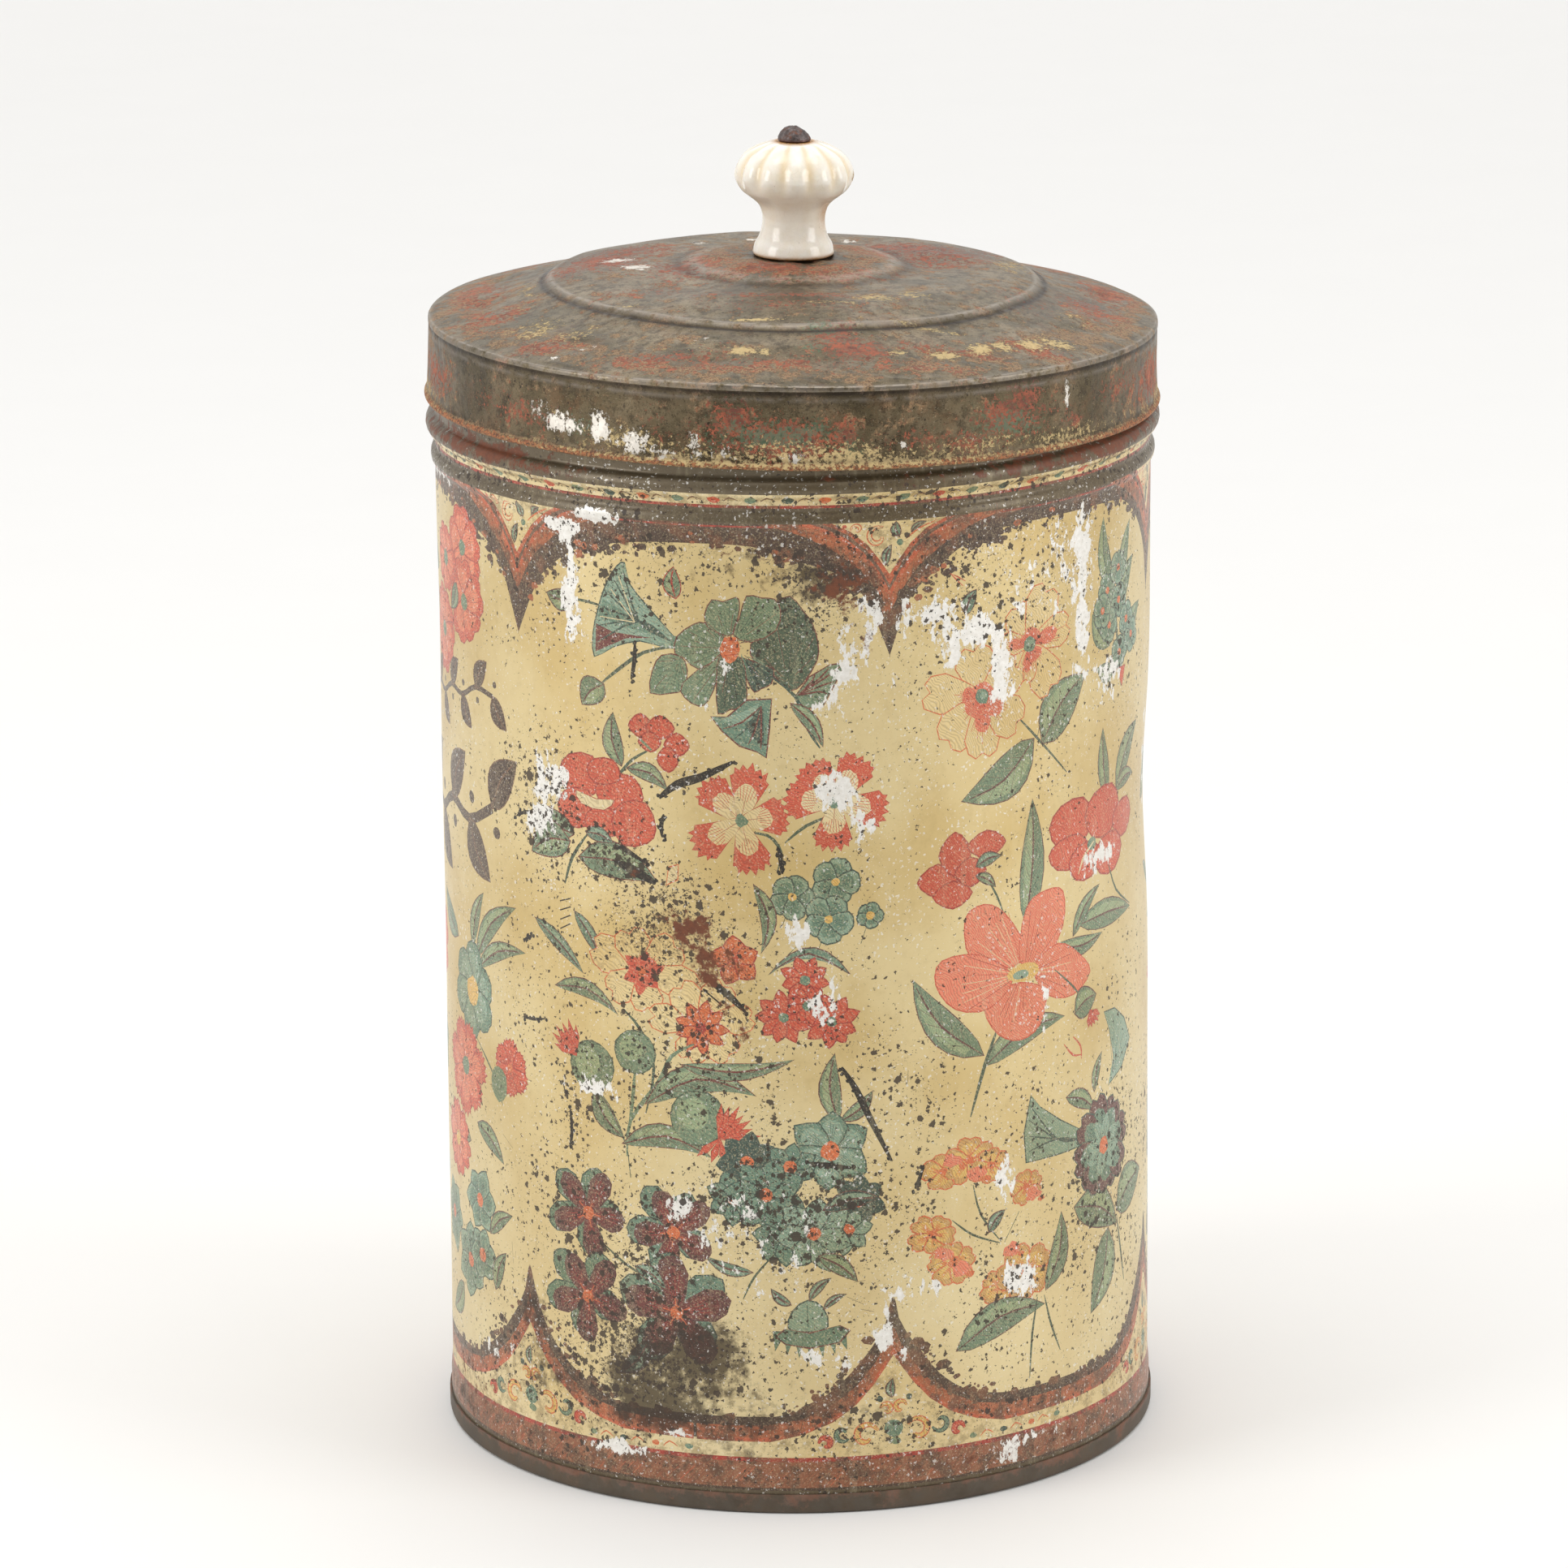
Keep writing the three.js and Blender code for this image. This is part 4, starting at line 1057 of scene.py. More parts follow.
def cut_print(p):
    """One triangle mesh of the wall, with an edge wherever two inks meet, and the ink of each triangle."""
    flat, triangles, inks, edges = visible_edges(p)
    edges = straightened(flat, edges)
    seen = BVHTree.FromPolygons([(v[0], v[1], 0.0) for v in flat], triangles)
    u0, u1 = across(CUSPS[0], CUSPS[-1])
    used = sorted({i for e in edges for i in e})
    index = {v: k for k, v in enumerate(used)}
    points = [flat[i] for i in used]
    edges = [(index[i], index[j]) for i, j in edges]
    base, rows = len(points), len(WALL_ROWS)
    for c in range(COLUMNS + 1):
        u = u0 + (u1 - u0) * c / COLUMNS
        points += [Vector((u, z)) for z in WALL_ROWS]
        first = base + c * rows
        edges += [(first + i, first + i + 1) for i in range(rows - 1)]
        if c:
            edges += [(first - rows + i, first + i) for i in range(rows)]
    flat, _, triangles, _, _, _ = delaunay_2d_cdt(points, edges, [], 0, 1e-4, True)
    flat = np.array([tuple(v) for v in flat])
    kept, colours = [], []
    for tri in triangles:
        mid = flat[list(tri)].mean(0)
        if u0 < mid[0] < u1 and WALL_LOW < mid[1] < WALL_TOP:
            hit = seen.ray_cast((mid[0], mid[1], 1.0), (0.0, 0.0, -1.0))[2]
            kept.append(tuple(tri))
            colours.append(inks[hit or 0])
    return flat, kept, np.array(colours)


def inner_skin():
    """The rolled top edge, the bare inside and the lower edge of the wall."""
    line = arc(75.45, WALL_TOP, 0.75, 0, 180, 8)[:-1]
    heights = [WALL_TOP, 234, 230, 226, 222.7, 221.5, 220.4, 219.3, 218.1, 215.4, 214.4, 213.5, 212.6,
        211.6]
    heights += [205 - 8 * i for i in range(24)] + [12.6, 8.6, WALL_LOW]
    line += [(float(radius(np.array([z]))[0]) - SHEET, z) for z in heights]
    line += [(76.55, WALL_LOW)]
    u0, u1 = across(CUSPS[0], CUSPS[-1])
    vertices, faces = [], []
    for c in range(COLUMNS):
        a = (u0 + (u1 - u0) * c / COLUMNS) / WALL_R
        vertices += [(r * math.sin(a), -r * math.cos(a), z) for r, z in line]
    vertices = np.array(vertices)
    inward = wall_dent(np.arctan2(vertices[:, 0], -vertices[:, 1]) * WALL_R, vertices[:, 2])
    vertices[:, :2] *= (1 - inward / WALL_R)[:, None]
    n = len(line)
    for c in range(COLUMNS):
        d = (c + 1) % COLUMNS
        for i in range(n - 1):
            faces.append((c * n + i, d * n + i, d * n + i + 1, c * n + i + 1))
    return vertices, faces


def build_wall():
    flat, triangles, inks = cut_print(draw_print())
    used = sorted({i for t in triangles for i in t})
    index = {v: k for k, v in enumerate(used)}
    flat = flat[used]
    u, z = flat[:, 0], np.clip(flat[:, 1], WALL_LOW, WALL_TOP)
    outer = wall_place(u, z)
    skin, skin_faces = inner_skin()
    base = len(outer)
    vertices = np.concatenate([outer, skin])
    faces = [tuple(index[i] for i in t) for t in triangles]
    faces += [tuple(i + base for i in f) for f in skin_faces]
    obj = new_object("wall_printed", vertices, faces)
    mesh = obj.data
    ink = mesh.attributes.new("print", "FLOAT_COLOR", "CORNER")
    colours = np.tile(np.array([0.1, 0.08, 0.06, 0.0]), (len(mesh.loops), 1))
    colours[:len(triangles) * 3] = np.repeat(inks, 3, axis=0)
    ink.data.foreach_set("color", colours.ravel())
    wear_and_painted_light = np.zeros((len(vertices), 4))
    layers = ((RUST_SPOTS, 1.0), (SPECK_SPOTS, 1.1), (BARE_SPOTS, 1.25), (GRIME_SPOTS, 1.0))
    for channel, (spots, spread) in enumerate(layers):
        wear_and_painted_light[:base, channel] = field(spots, u, z, spread)
    mesh.attributes.new("wear_and_painted_light", "FLOAT_COLOR", "POINT").data.foreach_set("color", wear_and_painted_light.ravel())
    slots = np.zeros(len(faces), np.int32)
    slots[len(triangles):] = 1
    mesh.polygons.foreach_set("material_index", slots)
    normals = np.array([tuple(n.vector) for n in mesh.vertex_normals])
    normals[:base] = wall_normal(u, z)
    mesh.normals_split_custom_set_from_vertices(normals)
    return obj


# ---------------------------------------------------------------- lathe work

def chaikin(line):
    """Eases the corners of an open line and keeps its ends."""
    out = [line[0]]
    for a, b in zip(line, line[1:]):
        out.append(tuple(0.75 * p + 0.25 * q for p, q in zip(a, b)))
        out.append(tuple(0.25 * p + 0.75 * q for p, q in zip(a, b)))
    return out + [line[-1]]


def spaced(line, step):
    """The same line with a point at least every step."""
    out = [line[0]]
    for a, b in zip(line, line[1:]):
        n = max(1, math.ceil(math.dist(a, b) / step))
        out += [tuple(p + (q - p) * i / n for p, q in zip(a, b)) for i in range(1, n + 1)]
    return out


def thickened(line, by):
    """A closed outline: the line, and back along it at a sheet's thickness on its right."""
    back = []
    for i, (r, z) in enumerate(line):
        a, b = line[max(i - 1, 0)], line[min(i + 1, len(line) - 1)]
        dr, dz = b[0] - a[0], b[1] - a[1]
        d = math.hypot(dr, dz) or 1
        back.append((r + dz / d * by, z - dr / d * by))
    return line + back[::-1]


def lathe(name, line, segments, move=None):
    """A solid of revolution round Z from a closed (r, z) outline; move may shift each (x, y, z)."""
    vertices, faces = [], []
    n = len(line)
    for c in range(segments):
        a = 2 * math.pi * c / segments
        for r, z in line:
            point = (r * math.sin(a), -r * math.cos(a), z)
            vertices.append(move(*point) if move else point)
    for c in range(segments):
        d = (c + 1) % segments
        for i in range(n):
            j = (i + 1) % n
            if line[i][0] > 1e-6 or line[j][0] > 1e-6:
                faces.append((c * n + i, d * n + i, d * n + j, c * n + j))
    obj = new_object(name, vertices, faces)
    weld(obj)
    return obj


def weld(obj):
    bm = bmesh.new()
    bm.from_mesh(obj.data)
    bmesh.ops.remove_doubles(bm, verts=bm.verts, dist=1e-7)
    bmesh.ops.dissolve_degenerate(bm, edges=bm.edges, dist=1e-8)
    bmesh.ops.recalc_face_normals(bm, faces=bm.faces)
    bm.to_mesh(obj.data)
    bm.free()
    obj.data.update()


def sharpen(obj, degrees):
    """Keeps true edges crisp and the rest smooth."""
    mesh = obj.data
    mesh.polygons.foreach_set("use_smooth", [True] * len(mesh.polygons))
    mesh.set_sharp_from_angle(angle=math.radians(degrees))


def ridge(value, centre, width):
    """1 at the centre, falling away on both sides."""
    return np.exp(-((value - centre) / width) ** 2)


def points_of(obj):
    co = np.zeros(len(obj.data.vertices) * 3, np.float32)
    obj.data.vertices.foreach_get("co", co)
    return co.reshape(-1, 3).astype(float) / MM


def paint(obj, name, channels):
    """Stores up to four fields, one value each at every vertex."""
    values = np.zeros((len(obj.data.vertices), 4))
    for k, channel in enumerate(channels):
        values[:, k] = channel
    obj.data.attributes.new(name, "FLOAT_COLOR", "POINT").data.foreach_set("color", values.ravel())


def tilt_lid(obj):
    """Sets a lid piece down slightly askew, as it sits in the photograph."""
    shift = (Matrix.Translation((0, 0, (LID_PIVOT_Z + LID_LIFT) * MM)) @ Matrix.Rotation(LID_TILT, 4, "Y")
             @ Matrix.Translation((0, 0, -LID_PIVOT_Z * MM)))
    obj.data.transform(shift)
    obj.data.update()
    return obj


def finish_piece(obj, body, node, slot, *materials):
    for material in materials:
        obj.data.materials.append(material)
    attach(obj, body)
    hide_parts(node)
    return obj


# ---------------------------------------------------------------- lid pieces

DOME_LINE = [(BORE, 254.4), (14, 254.4), (20.5, 253.6), (23.5, 252.7), (25.5, 252.3), (37, 252.1),
    (44, 251.4), (50.2, 249.9), (51.8, 249.7), (53, 248.4), (64, 245.3), (76.5, 241.9), (77.25, 241.7),
    (77.4, 241.3), (77.4, 240.5)]
DOME_RED = [(-24, -8, 10, 14, 0.7), (30, 12, 16, 12, 0.8), (0, -16, 24, 8, 0.5), (66, 10, 7, 16, 0.7),
    (-66, 6, 7, 16, 0.6), (0, -40, 22, 5, 0.55), (-30, -26, 12, 8, 0.5), (8, -54, 5, 5, 0.9),
    (0, -66, 40, 4, 0.5), (48, -22, 8, 8, 0.5), (-34, 16, 12, 8, 0.8), (-40, 6, 9, 11, 1.0),
    (-48, 0, 6, 8, 0.8), (26, 20, 14, 8, 0.9), (40, 26, 12, 8, 0.6), (62, -12, 7, 9, 0.8),
    (-62, -22, 9, 8, 0.6), (12, -60, 8, 5, 1.0), (30, -56, 12, 3, 0.7), (-26, -62, 14, 3, 0.7),
    (0, -33, 26, 3, 0.7), (-4, -13, 8, 6, 0.8), (-14, -60, 6, 4, 0.5), (0, 60, 26, 8, 0.6),
    (-52, 40, 12, 10, 0.6), (56, 40, 8, 14, 0.5), (48, -48, 10, 4, 0.7), (-52, -48, 8, 4, 0.7)]
DOME_CREAM = [(17, -34, 6, 4, 0.75), (25, -31, 5, 4, 0.65), (8, -39, 9, 1.6, 0.65),
    (-8, -48.6, 6, 0.9, 1.0), (26, -47, 12, 1.0, 0.7), (-11, -61, 2.2, 1.8, 1.1),
    (-6, -62, 1.6, 1.8, 1.0), (31, -58, 3, 1.8, 1.0), (38, -53, 2.4, 2.6, 1.0), (43, -50, 2.2, 2.4, 1.0),
    (49, -46, 3, 2.4, 0.9), (55, -42, 4, 3, 0.8), (21, -60, 2.4, 1.6, 0.8), (-44, -44, 5, 4, 0.6),
    (-52, -36, 6, 6, 0.6), (-34, -36, 3, 2, 0.6), (-20, -58, 10, 3, 0.4), (46, 8, 5, 10, 0.6),
    (-56, -6, 3, 12, 0.5), (58, -20, 5, 10, 0.4)]
DOME_WHITE = [(-37, 6, 4, 3, 0.95), (-33, -4, 4, 3.4, 1.0), (-20, 26, 2, 3, 0.8), (-9, 30, 1.6, 2, 0.9),
    (12, 28, 2, 3, 0.8), (-49, -55, 2, 1.4, 0.8), (-42, -52, 2.2, 1.2, 0.8), (-19, -55, 2, 1.4, 0.6)]
DOME_GREEN = [(5, -52, 3.4, 3, 1.0), (3, -60, 3, 3, 0.8), (-33, -50, 3, 2.6, 0.6), (-26, 2, 3, 3, 0.5),
    (12, -26, 4, 2, 0.5)]
SKIRT_RED = [(-2, 231, 12, 4, 1.1), (46, 233, 8, 4, 1.0), (-60, 231, 14, 4, 0.6), (24, 230, 8, 3, 0.6),
    (-8, 231, 14, 5, 0.75), (48, 232, 12, 5, 0.75), (82, 234, 10, 4, 0.6), (-70, 232, 12, 4, 0.5),
    (-12, 234, 5, 4, 1.1), (2, 230, 6, 4, 1.0), (-4, 228, 10, 3, 0.8), (10, 231, 4, 4, 0.9),
    (44, 233, 5, 4, 1.1), (50, 236, 5, 4, 1.0), (36, 229, 6, 3, 0.8), (-28, 232, 3, 4, 0.6),
    (64, 230, 4, 4, 0.6), (100, 232, 12, 5, 0.8), (-100, 232, 12, 4, 0.8), (170, 232, 16, 5, 0.8)]
SKIRT_GREEN = [(-4, 231, 12, 4, 0.8), (46, 231, 9, 3, 0.8), (-44, 230, 8, 3, 0.7), (4, 233, 4, 2.4, 0.9),
    (12, 228, 4, 3, 0.8), (-18, 230, 4, 2.4, 0.6), (40, 235, 4, 2, 0.6), (54, 230, 3, 2, 0.6)]
SKIRT_CREAM = [(-36, 229, 10, 3.4, 0.7), (0, 228.6, 22, 3, 0.6), (62, 227, 16, 2.2, 0.7),
    (0, 226.4, 60, 1.8, 0.7), (-30, 228.4, 14, 2.6, 0.6), (10, 227.4, 14, 2.4, 0.8),
    (40, 228, 18, 2.4, 0.6), (150, 227, 50, 2, 0.8), (-150, 227, 50, 2, 0.8), (-52, 231, 2.4, 3, 0.6)]
SKIRT_WHITE = [(-50, 230.4, 5, 2.4, 0.95), (-41, 231, 2.4, 4, 1.0), (-33, 228.6, 3, 3, 0.85),
    (-27, 226.8, 4, 1.2, 0.7), (-20, 229, 2, 3, 0.7), (62, 236, 0.8, 4, 0.9), (-57, 233, 2, 2.6, 0.8),
    (0, 227, 2, 1.6, 0.7), (22, 229, 1.6, 1.4, 0.7), (-14, 228, 1.6, 1.6, 0.7),
    (38, 229.6, 1.4, 1.4, 0.6)]


def lid_ripple(x, y, z):
    """The lid's own small dents; none at the rim, where the skirt is joined."""
    r = math.hypot(x, y)
    a = math.atan2(x, -y)
    free = max(0.0, min(1.0, (74 - r) / 8))
    dip = 0.3 * math.sin(3 * a + r / 9) + 0.18 * math.sin(5 * a - r / 6
        + 1) + 1.3 * math.exp(-((x - 30) ** 2 + (y - 4) ** 2) / 60)
    dip += 0.9 * math.exp(-((x + 26) ** 2 + (y + 24) ** 2) / 70)
    dip += 1.1 * math.exp(-((r - 67) / 4.5) ** 2) * max(0.0,
        math.sin(13 * a + 2 * math.sin(3 * a))) ** 2 * (0.25 + abs(math.sin(a)))
    return (x, y, z - free * abs(dip) * 0.9 - (0.12 * (1 + math.sin(7 * a)) if r > 76 else 0)
        * max(0, min(1, (z - 240.6) / 1.0)))


def skirt_ripple(x, y, z):
    a = math.atan2(x, -y)
    inward = 0.12 * (1 + math.sin(5 * a + 1)) * math.exp(-((z - 232) / 5) ** 2)
    return (x * (1 - inward / WALL_R), y * (1 - inward / WALL_R), z)


def build_dome():
    line = spaced(chaikin(DOME_LINE), 0.9)
    obj = lathe("lid_top", thickened(line, SHEET), 216, lid_ripple)
    x, y, _ = points_of(obj).T
    r = np.hypot(x, y)
    paint(obj, "remnants", (field(DOME_RED, x, y), field(DOME_CREAM, x, y), field(DOME_WHITE, x, y),
        field(DOME_GREEN, x, y)))
    # groove is painted shadow along the dome's steps and round the knob's foot; bright is a painted highlight
    # on the ridge crests and the rim; rust is real rust.
    groove = 1.2 * ridge(r, 53.3, 0.7) + 0.6 * ridge(r, 24.6, 1.6) + 0.8 * ridge(r, 8.6, 1.0)
    bright = 0.8 * ridge(r, 51.7, 0.5) + 0.5 * ridge(r, 21.5, 1.5) + 0.7 * ridge(r, 77.1, 0.35)
    rust = 0.5 * ridge(r, 16, 7) + 0.35 * ridge(r, 70, 6)
    paint(obj, "wear_and_painted_light", (groove, bright, rust))
    sharpen(obj, 50)
    return tilt_lid(obj)


def build_skirt():
    line = arc(77.5, 224.95, 0.75, -60, 40, 8) + [(77.7, 226.1), (77.34, 238.8), (77.3, 240.7)]
    line = spaced(line, 0.8)[::-1]
    obj = lathe("lid_side", thickened(line, SHEET), 216, skirt_ripple)
    x, y, z = points_of(obj).T
    u = WALL_R * np.arctan2(x, -y)
    outside = (np.hypot(x, y) > np.interp(z, (224, 226.1, 239.6), (77.1, 77.5, 76.8))).astype(float)
    paint(obj, "remnants", [outside * field(s, u, z)
        for s in (SKIRT_RED, SKIRT_CREAM, SKIRT_WHITE, SKIRT_GREEN)])
    # groove is painted shadow under the dome's edge and above the hem; bright is a painted highlight just below
    # that shadow; rust is real rust at the hem and sides.
    groove = outside * (ridge(z, 240.3, 0.5) + 0.35 * ridge(z, 239.2, 1.4) + 0.5 * ridge(z, 226.2, 0.5))
    bright = outside * 0.25 * ridge(z, 238.8, 0.4)
    rust = outside * (0.9 * ridge(z, 225, 0.9) + 0.3 * ridge(np.abs(u), 118, 20))
    paint(obj, "wear_and_painted_light", (groove, bright, rust))
    sharpen(obj, 50)
    return tilt_lid(obj)


KNOB_FOOT = 254.45
KNOB_LINE = [(8.64, 0.6), (8.2, 2.4), (7.3, 4), (6.78, 5.9), (6.64, 7.5), (6.86, 9.2), (7.4, 10.6),
    (8.4, 11.7), (10.0, 12.9), (11.1, 13.8), (12.1, 15.2), (12.7, 17.0), (12.45, 18.6), (11.7, 20.2),
    (10.4, 21.7), (8.0, 23.1), (5.6, 23.95), (3.6, 24.2)]
FLUTES = 13
FLUTE_TURN = math.radians(16.2)


def flute(x, y, z):
    """Sinks the thirteen grooves into the knob's crown."""
    h = z - KNOB_FOOT
    r = math.hypot(x, y)
    a = math.atan2(x, -y) - FLUTE_TURN
    wave = (0.5 + 0.5 * math.cos(FLUTES * a)) ** 1.6
    rise = max(0.0, min(1.0, (h - 13) / 4))
    side = max(0.0, min(1.0, (r - 3.35) / 3.65))
    k = 1 - 0.062 * wave * (rise * rise * (3 - 2 * rise)) * (side * side * (3 - 2 * side))
    return (x * k, y * k, z)


def build_knob():
    outside = spaced(curve([(r, KNOB_FOOT + h) for r, h in KNOB_LINE], 4), 0.35)
    line = [(BORE, KNOB_FOOT), (8.14, KNOB_FOOT), (8.5, KNOB_FOOT + 0.2)] + outside
    line += [(BORE, KNOB_FOOT + 24.2), (BORE, KNOB_FOOT + 12)]
    obj = lathe("knob_china", line, FLUTES * 14, flute)
    x, y, z = points_of(obj).T
    r = np.hypot(x, y)
    h = z - KNOB_FOOT
    a = np.arctan2(x, -y) - FLUTE_TURN
    wave = (0.5 + 0.5 * np.cos(FLUTES * a)) ** 3 * np.clip((h - 14) / 4, 0, 1) * np.clip((r - 3) / 4, 0, 1)
    stain = 1.1 * np.exp(-(((r
        - 3.5) / 1.2) ** 2)) * (h > 20) + np.exp(-(h / 0.7) ** 2) + 0.8 * np.exp(-(((x - 7) / 1.6) ** 2)
        - ((h - 8.6) / 3) ** 2)
    chip = np.exp(-(((x - 12.4) / 1.1) ** 2) - ((h - 16.8) / 1.8) ** 2 - (y / 3.2) ** 2)
    # The fourth channel is painted shade on the knob's narrow neck.
    paint(obj, "wear_and_painted_light", (wave, stain, chip, ridge(h, 10, 5)))
    sharpen(obj, 60)
    return tilt_lid(obj)


def build_bolt():
    """The screw: a worn, slightly lopsided round head on a plain shank."""
    head = [(0, 281.8), (1.2, 281.7), (2.2, 281.3), (3.0, 280.5), (3.45, 279.6), (3.5, 279.0),
        (3.2, 278.7), (2.0, 278.7)]
    line = spaced(head, 0.35) + [(2.0, 262), (2.0, 247.4), (1.6, 246.8), (0, 246.8)]

    def worn(x, y, z):
        k = max(0.0, (z - 278.7) / 3.1)
        return (x, y, z - k * max(0.0, x) * 0.22 - 0.12 * k * math.sin(4 * math.atan2(y, x)))
    obj = lathe("knob_screw", line, 48, worn)
    sharpen(obj, 40)
    return tilt_lid(obj)


def build_cap():
    line = [(0.0, 0.0)] + [(75.2 * i / 12, 0) for i in range(1, 12)] + arc(76.1, 0.9, 0.9, -90, 0,
        8) + [(77.0, 4.2)]
    line = spaced(line, 3.0)
    body = thickened(line[::-1], SHEET)
    obj = lathe("base_pan", [(max(r, 0.0), z) for r, z in body], 144)
    x, y, z = points_of(obj).T
    r = np.hypot(x, y)
    # A darker ring under the pan, a painted highlight on its rounded edge, and rust along its top edge.
    paint(obj, "wear_and_painted_light", (ridge(r, 72, 4), 0.6 * ridge(r, 76.6, 0.7), 0.5 * ridge(z, 4, 1.2)))
    sharpen(obj, 50)
    return obj


def build_copy(node, name):
    """The CAD piece's own shape, set askew with the rest of the lid."""
    obj = bpy.data.objects.new(name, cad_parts[node].data.copy())
    obj.data.materials.clear()
    bpy.context.scene.collection.objects.link(obj)
    return tilt_lid(obj)


# ---------------------------------------------------------------- materials

class Nodes:
    """A material built node by node; coordinates are the object's own, in millimetres."""

    def __init__(self, name):
        self.material = bpy.data.materials.new(name)
        self.material.use_nodes = True
        self.tree = self.material.node_tree
        self.tree.nodes.clear()
        self.out = self.tree.nodes.new("ShaderNodeOutputMaterial")
        self.shader = self.tree.nodes.new("ShaderNodeBsdfPrincipled")
        self.tree.links.new(self.shader.outputs[0], self.out.inputs[0])
        place = self.tree.nodes.new("ShaderNodeTexCoord")
        self.mm = self.scaled(place.outputs["Object"], (1000, 1000, 1000))

    def put(self, socket, value):
        if isinstance(value, bpy.types.NodeSocket):
            self.tree.links.new(value, socket)
        elif isinstance(value, tuple) and len(value) == 3 and socket.type == "RGBA":
            socket.default_value = value + (1.0,)
        else:
            socket.default_value = value

    def node(self, kind, **inputs):
        node = self.tree.nodes.new("ShaderNode" + kind)
        for name, value in inputs.items():
            self.put(node.inputs[name.replace("_", " ")], value)
        return node

    def scaled(self, vector, by):
        node = self.node("VectorMath")
        node.operation = "MULTIPLY"
        self.put(node.inputs[0], vector)
        node.inputs[1].default_value = by
        return node.outputs[0]

    def noise(self, scale, detail=3, rough=0.55, stretch=None, warp=0.0):
        vector = self.scaled(self.mm, stretch) if stretch else self.mm
        node = self.node("TexNoise", Vector=vector, Scale=scale, Detail=detail, Roughness=rough,
            Distortion=warp)
        return node.outputs["Fac"]

    def cells(self, scale, feature="F1"):
        node = self.node("TexVoronoi")
        node.feature = feature
        self.put(node.inputs["Vector"], self.mm)
        self.put(node.inputs["Scale"], scale)
        return node.outputs["Distance"]

    def dots(self, scale, amount, low, reach):
        """Separate round specks whose size and number follow amount."""
        ragged = self.node("TexNoise", Vector=self.mm, Scale=1.6, Detail=3)
        nudge = self.node("VectorMath")
        nudge.operation = "MULTIPLY_ADD"
        self.put(nudge.inputs[0], ragged.outputs["Color"])
        nudge.inputs[1].default_value = (1.5, 1.5, 1.5)
        self.put(nudge.inputs[2], self.mm)
        cell = self.node("TexVoronoi", Vector=nudge.outputs[0], Scale=scale)
        split = self.node("SeparateColor", Color=cell.outputs["Color"])
        chance = self.math("POWER", split.outputs[0], 1.9)
        size = self.times(chance, self.plus(low, self.times(amount, reach)))
        return self.step(cell.outputs["Distance"], size, self.less(size, 0.05))

    def math(self, operation, a, b=0.0, clamp=False):
        node = self.node("Math")
        node.operation = operation
        node.use_clamp = clamp
        self.put(node.inputs[0], a)
        self.put(node.inputs[1], b)
        return node.outputs[0]

    def times(self, a, b, clamp=False):
        return self.math("MULTIPLY", a, b, clamp)

    def plus(self, a, b, clamp=False):
        return self.math("ADD", a, b, clamp)

    def less(self, a, b, clamp=False):
        return self.math("SUBTRACT", a, b, clamp)

    def most(self, a, b):
        return self.math("MAXIMUM", a, b)

    def step(self, value, low, high):
        """0 below low, 1 above high, smooth between."""
        node = self.node("MapRange", Value=value, From_Min=low, From_Max=high)
        node.interpolation_type = "SMOOTHSTEP"
        return node.outputs[0]

    def hatching(self, period):
        """Fine slanting lines, a little uneven, as an engraver cuts them."""
        split = self.node("SeparateXYZ", Vector=self.mm)
        slant = self.plus(self.plus(split.outputs[0], split.outputs[1]), split.outputs[2])
        bent = self.plus(slant, self.times(self.noise(0.16, 2), 9.0))
        return self.step(self.math("SINE", self.times(bent, 2 * math.pi / period)), 0.0, 0.7)

    def patch(self, noise, amount, soft=0.03, reach=0.36, floor=0.74):
        """Ragged spots: the more of amount there is, the more of the noise shows through."""
        low = self.less(floor, self.times(amount, reach))
        return self.step(noise, low, self.plus(low, soft))

    def mix(self, factor, a, b, blend="MIX"):
        node = self.node("Mix")
        node.data_type = "RGBA"
        node.blend_type = blend
        self.put(node.inputs[0], factor)
        self.put(node.inputs[6], linear(a) if isinstance(a, tuple) else a)
        self.put(node.inputs[7], linear(b) if isinstance(b, tuple) else b)
        return node.outputs[2]

    def fields(self, name):
        node = self.node("Attribute")
        node.attribute_name = name
        split = self.node("SeparateColor", Color=node.outputs["Color"])
        return node.outputs["Color"], *split.outputs[:3], node.outputs["Alpha"]

    def height(self):
        return self.node("SeparateXYZ", Vector=self.mm).outputs[2]

    def finish(self, colour, rough, metal, bump, distance, strength):
        relief = self.node("Bump", Distance=distance * MM, Strength=strength, Height=bump)
        self.set(Base_Color=colour, Roughness=rough, Metallic=metal, Normal=relief.outputs[0])
        return self.material

    def set(self, **inputs):
        for name, value in inputs.items():
            self.put(self.shader.inputs[name.replace("_", " ")], value)


def rust_colour(n):
    return n.mix(n.noise(0.9, 4, 0.7), (58, 31, 19), (142, 76, 38))


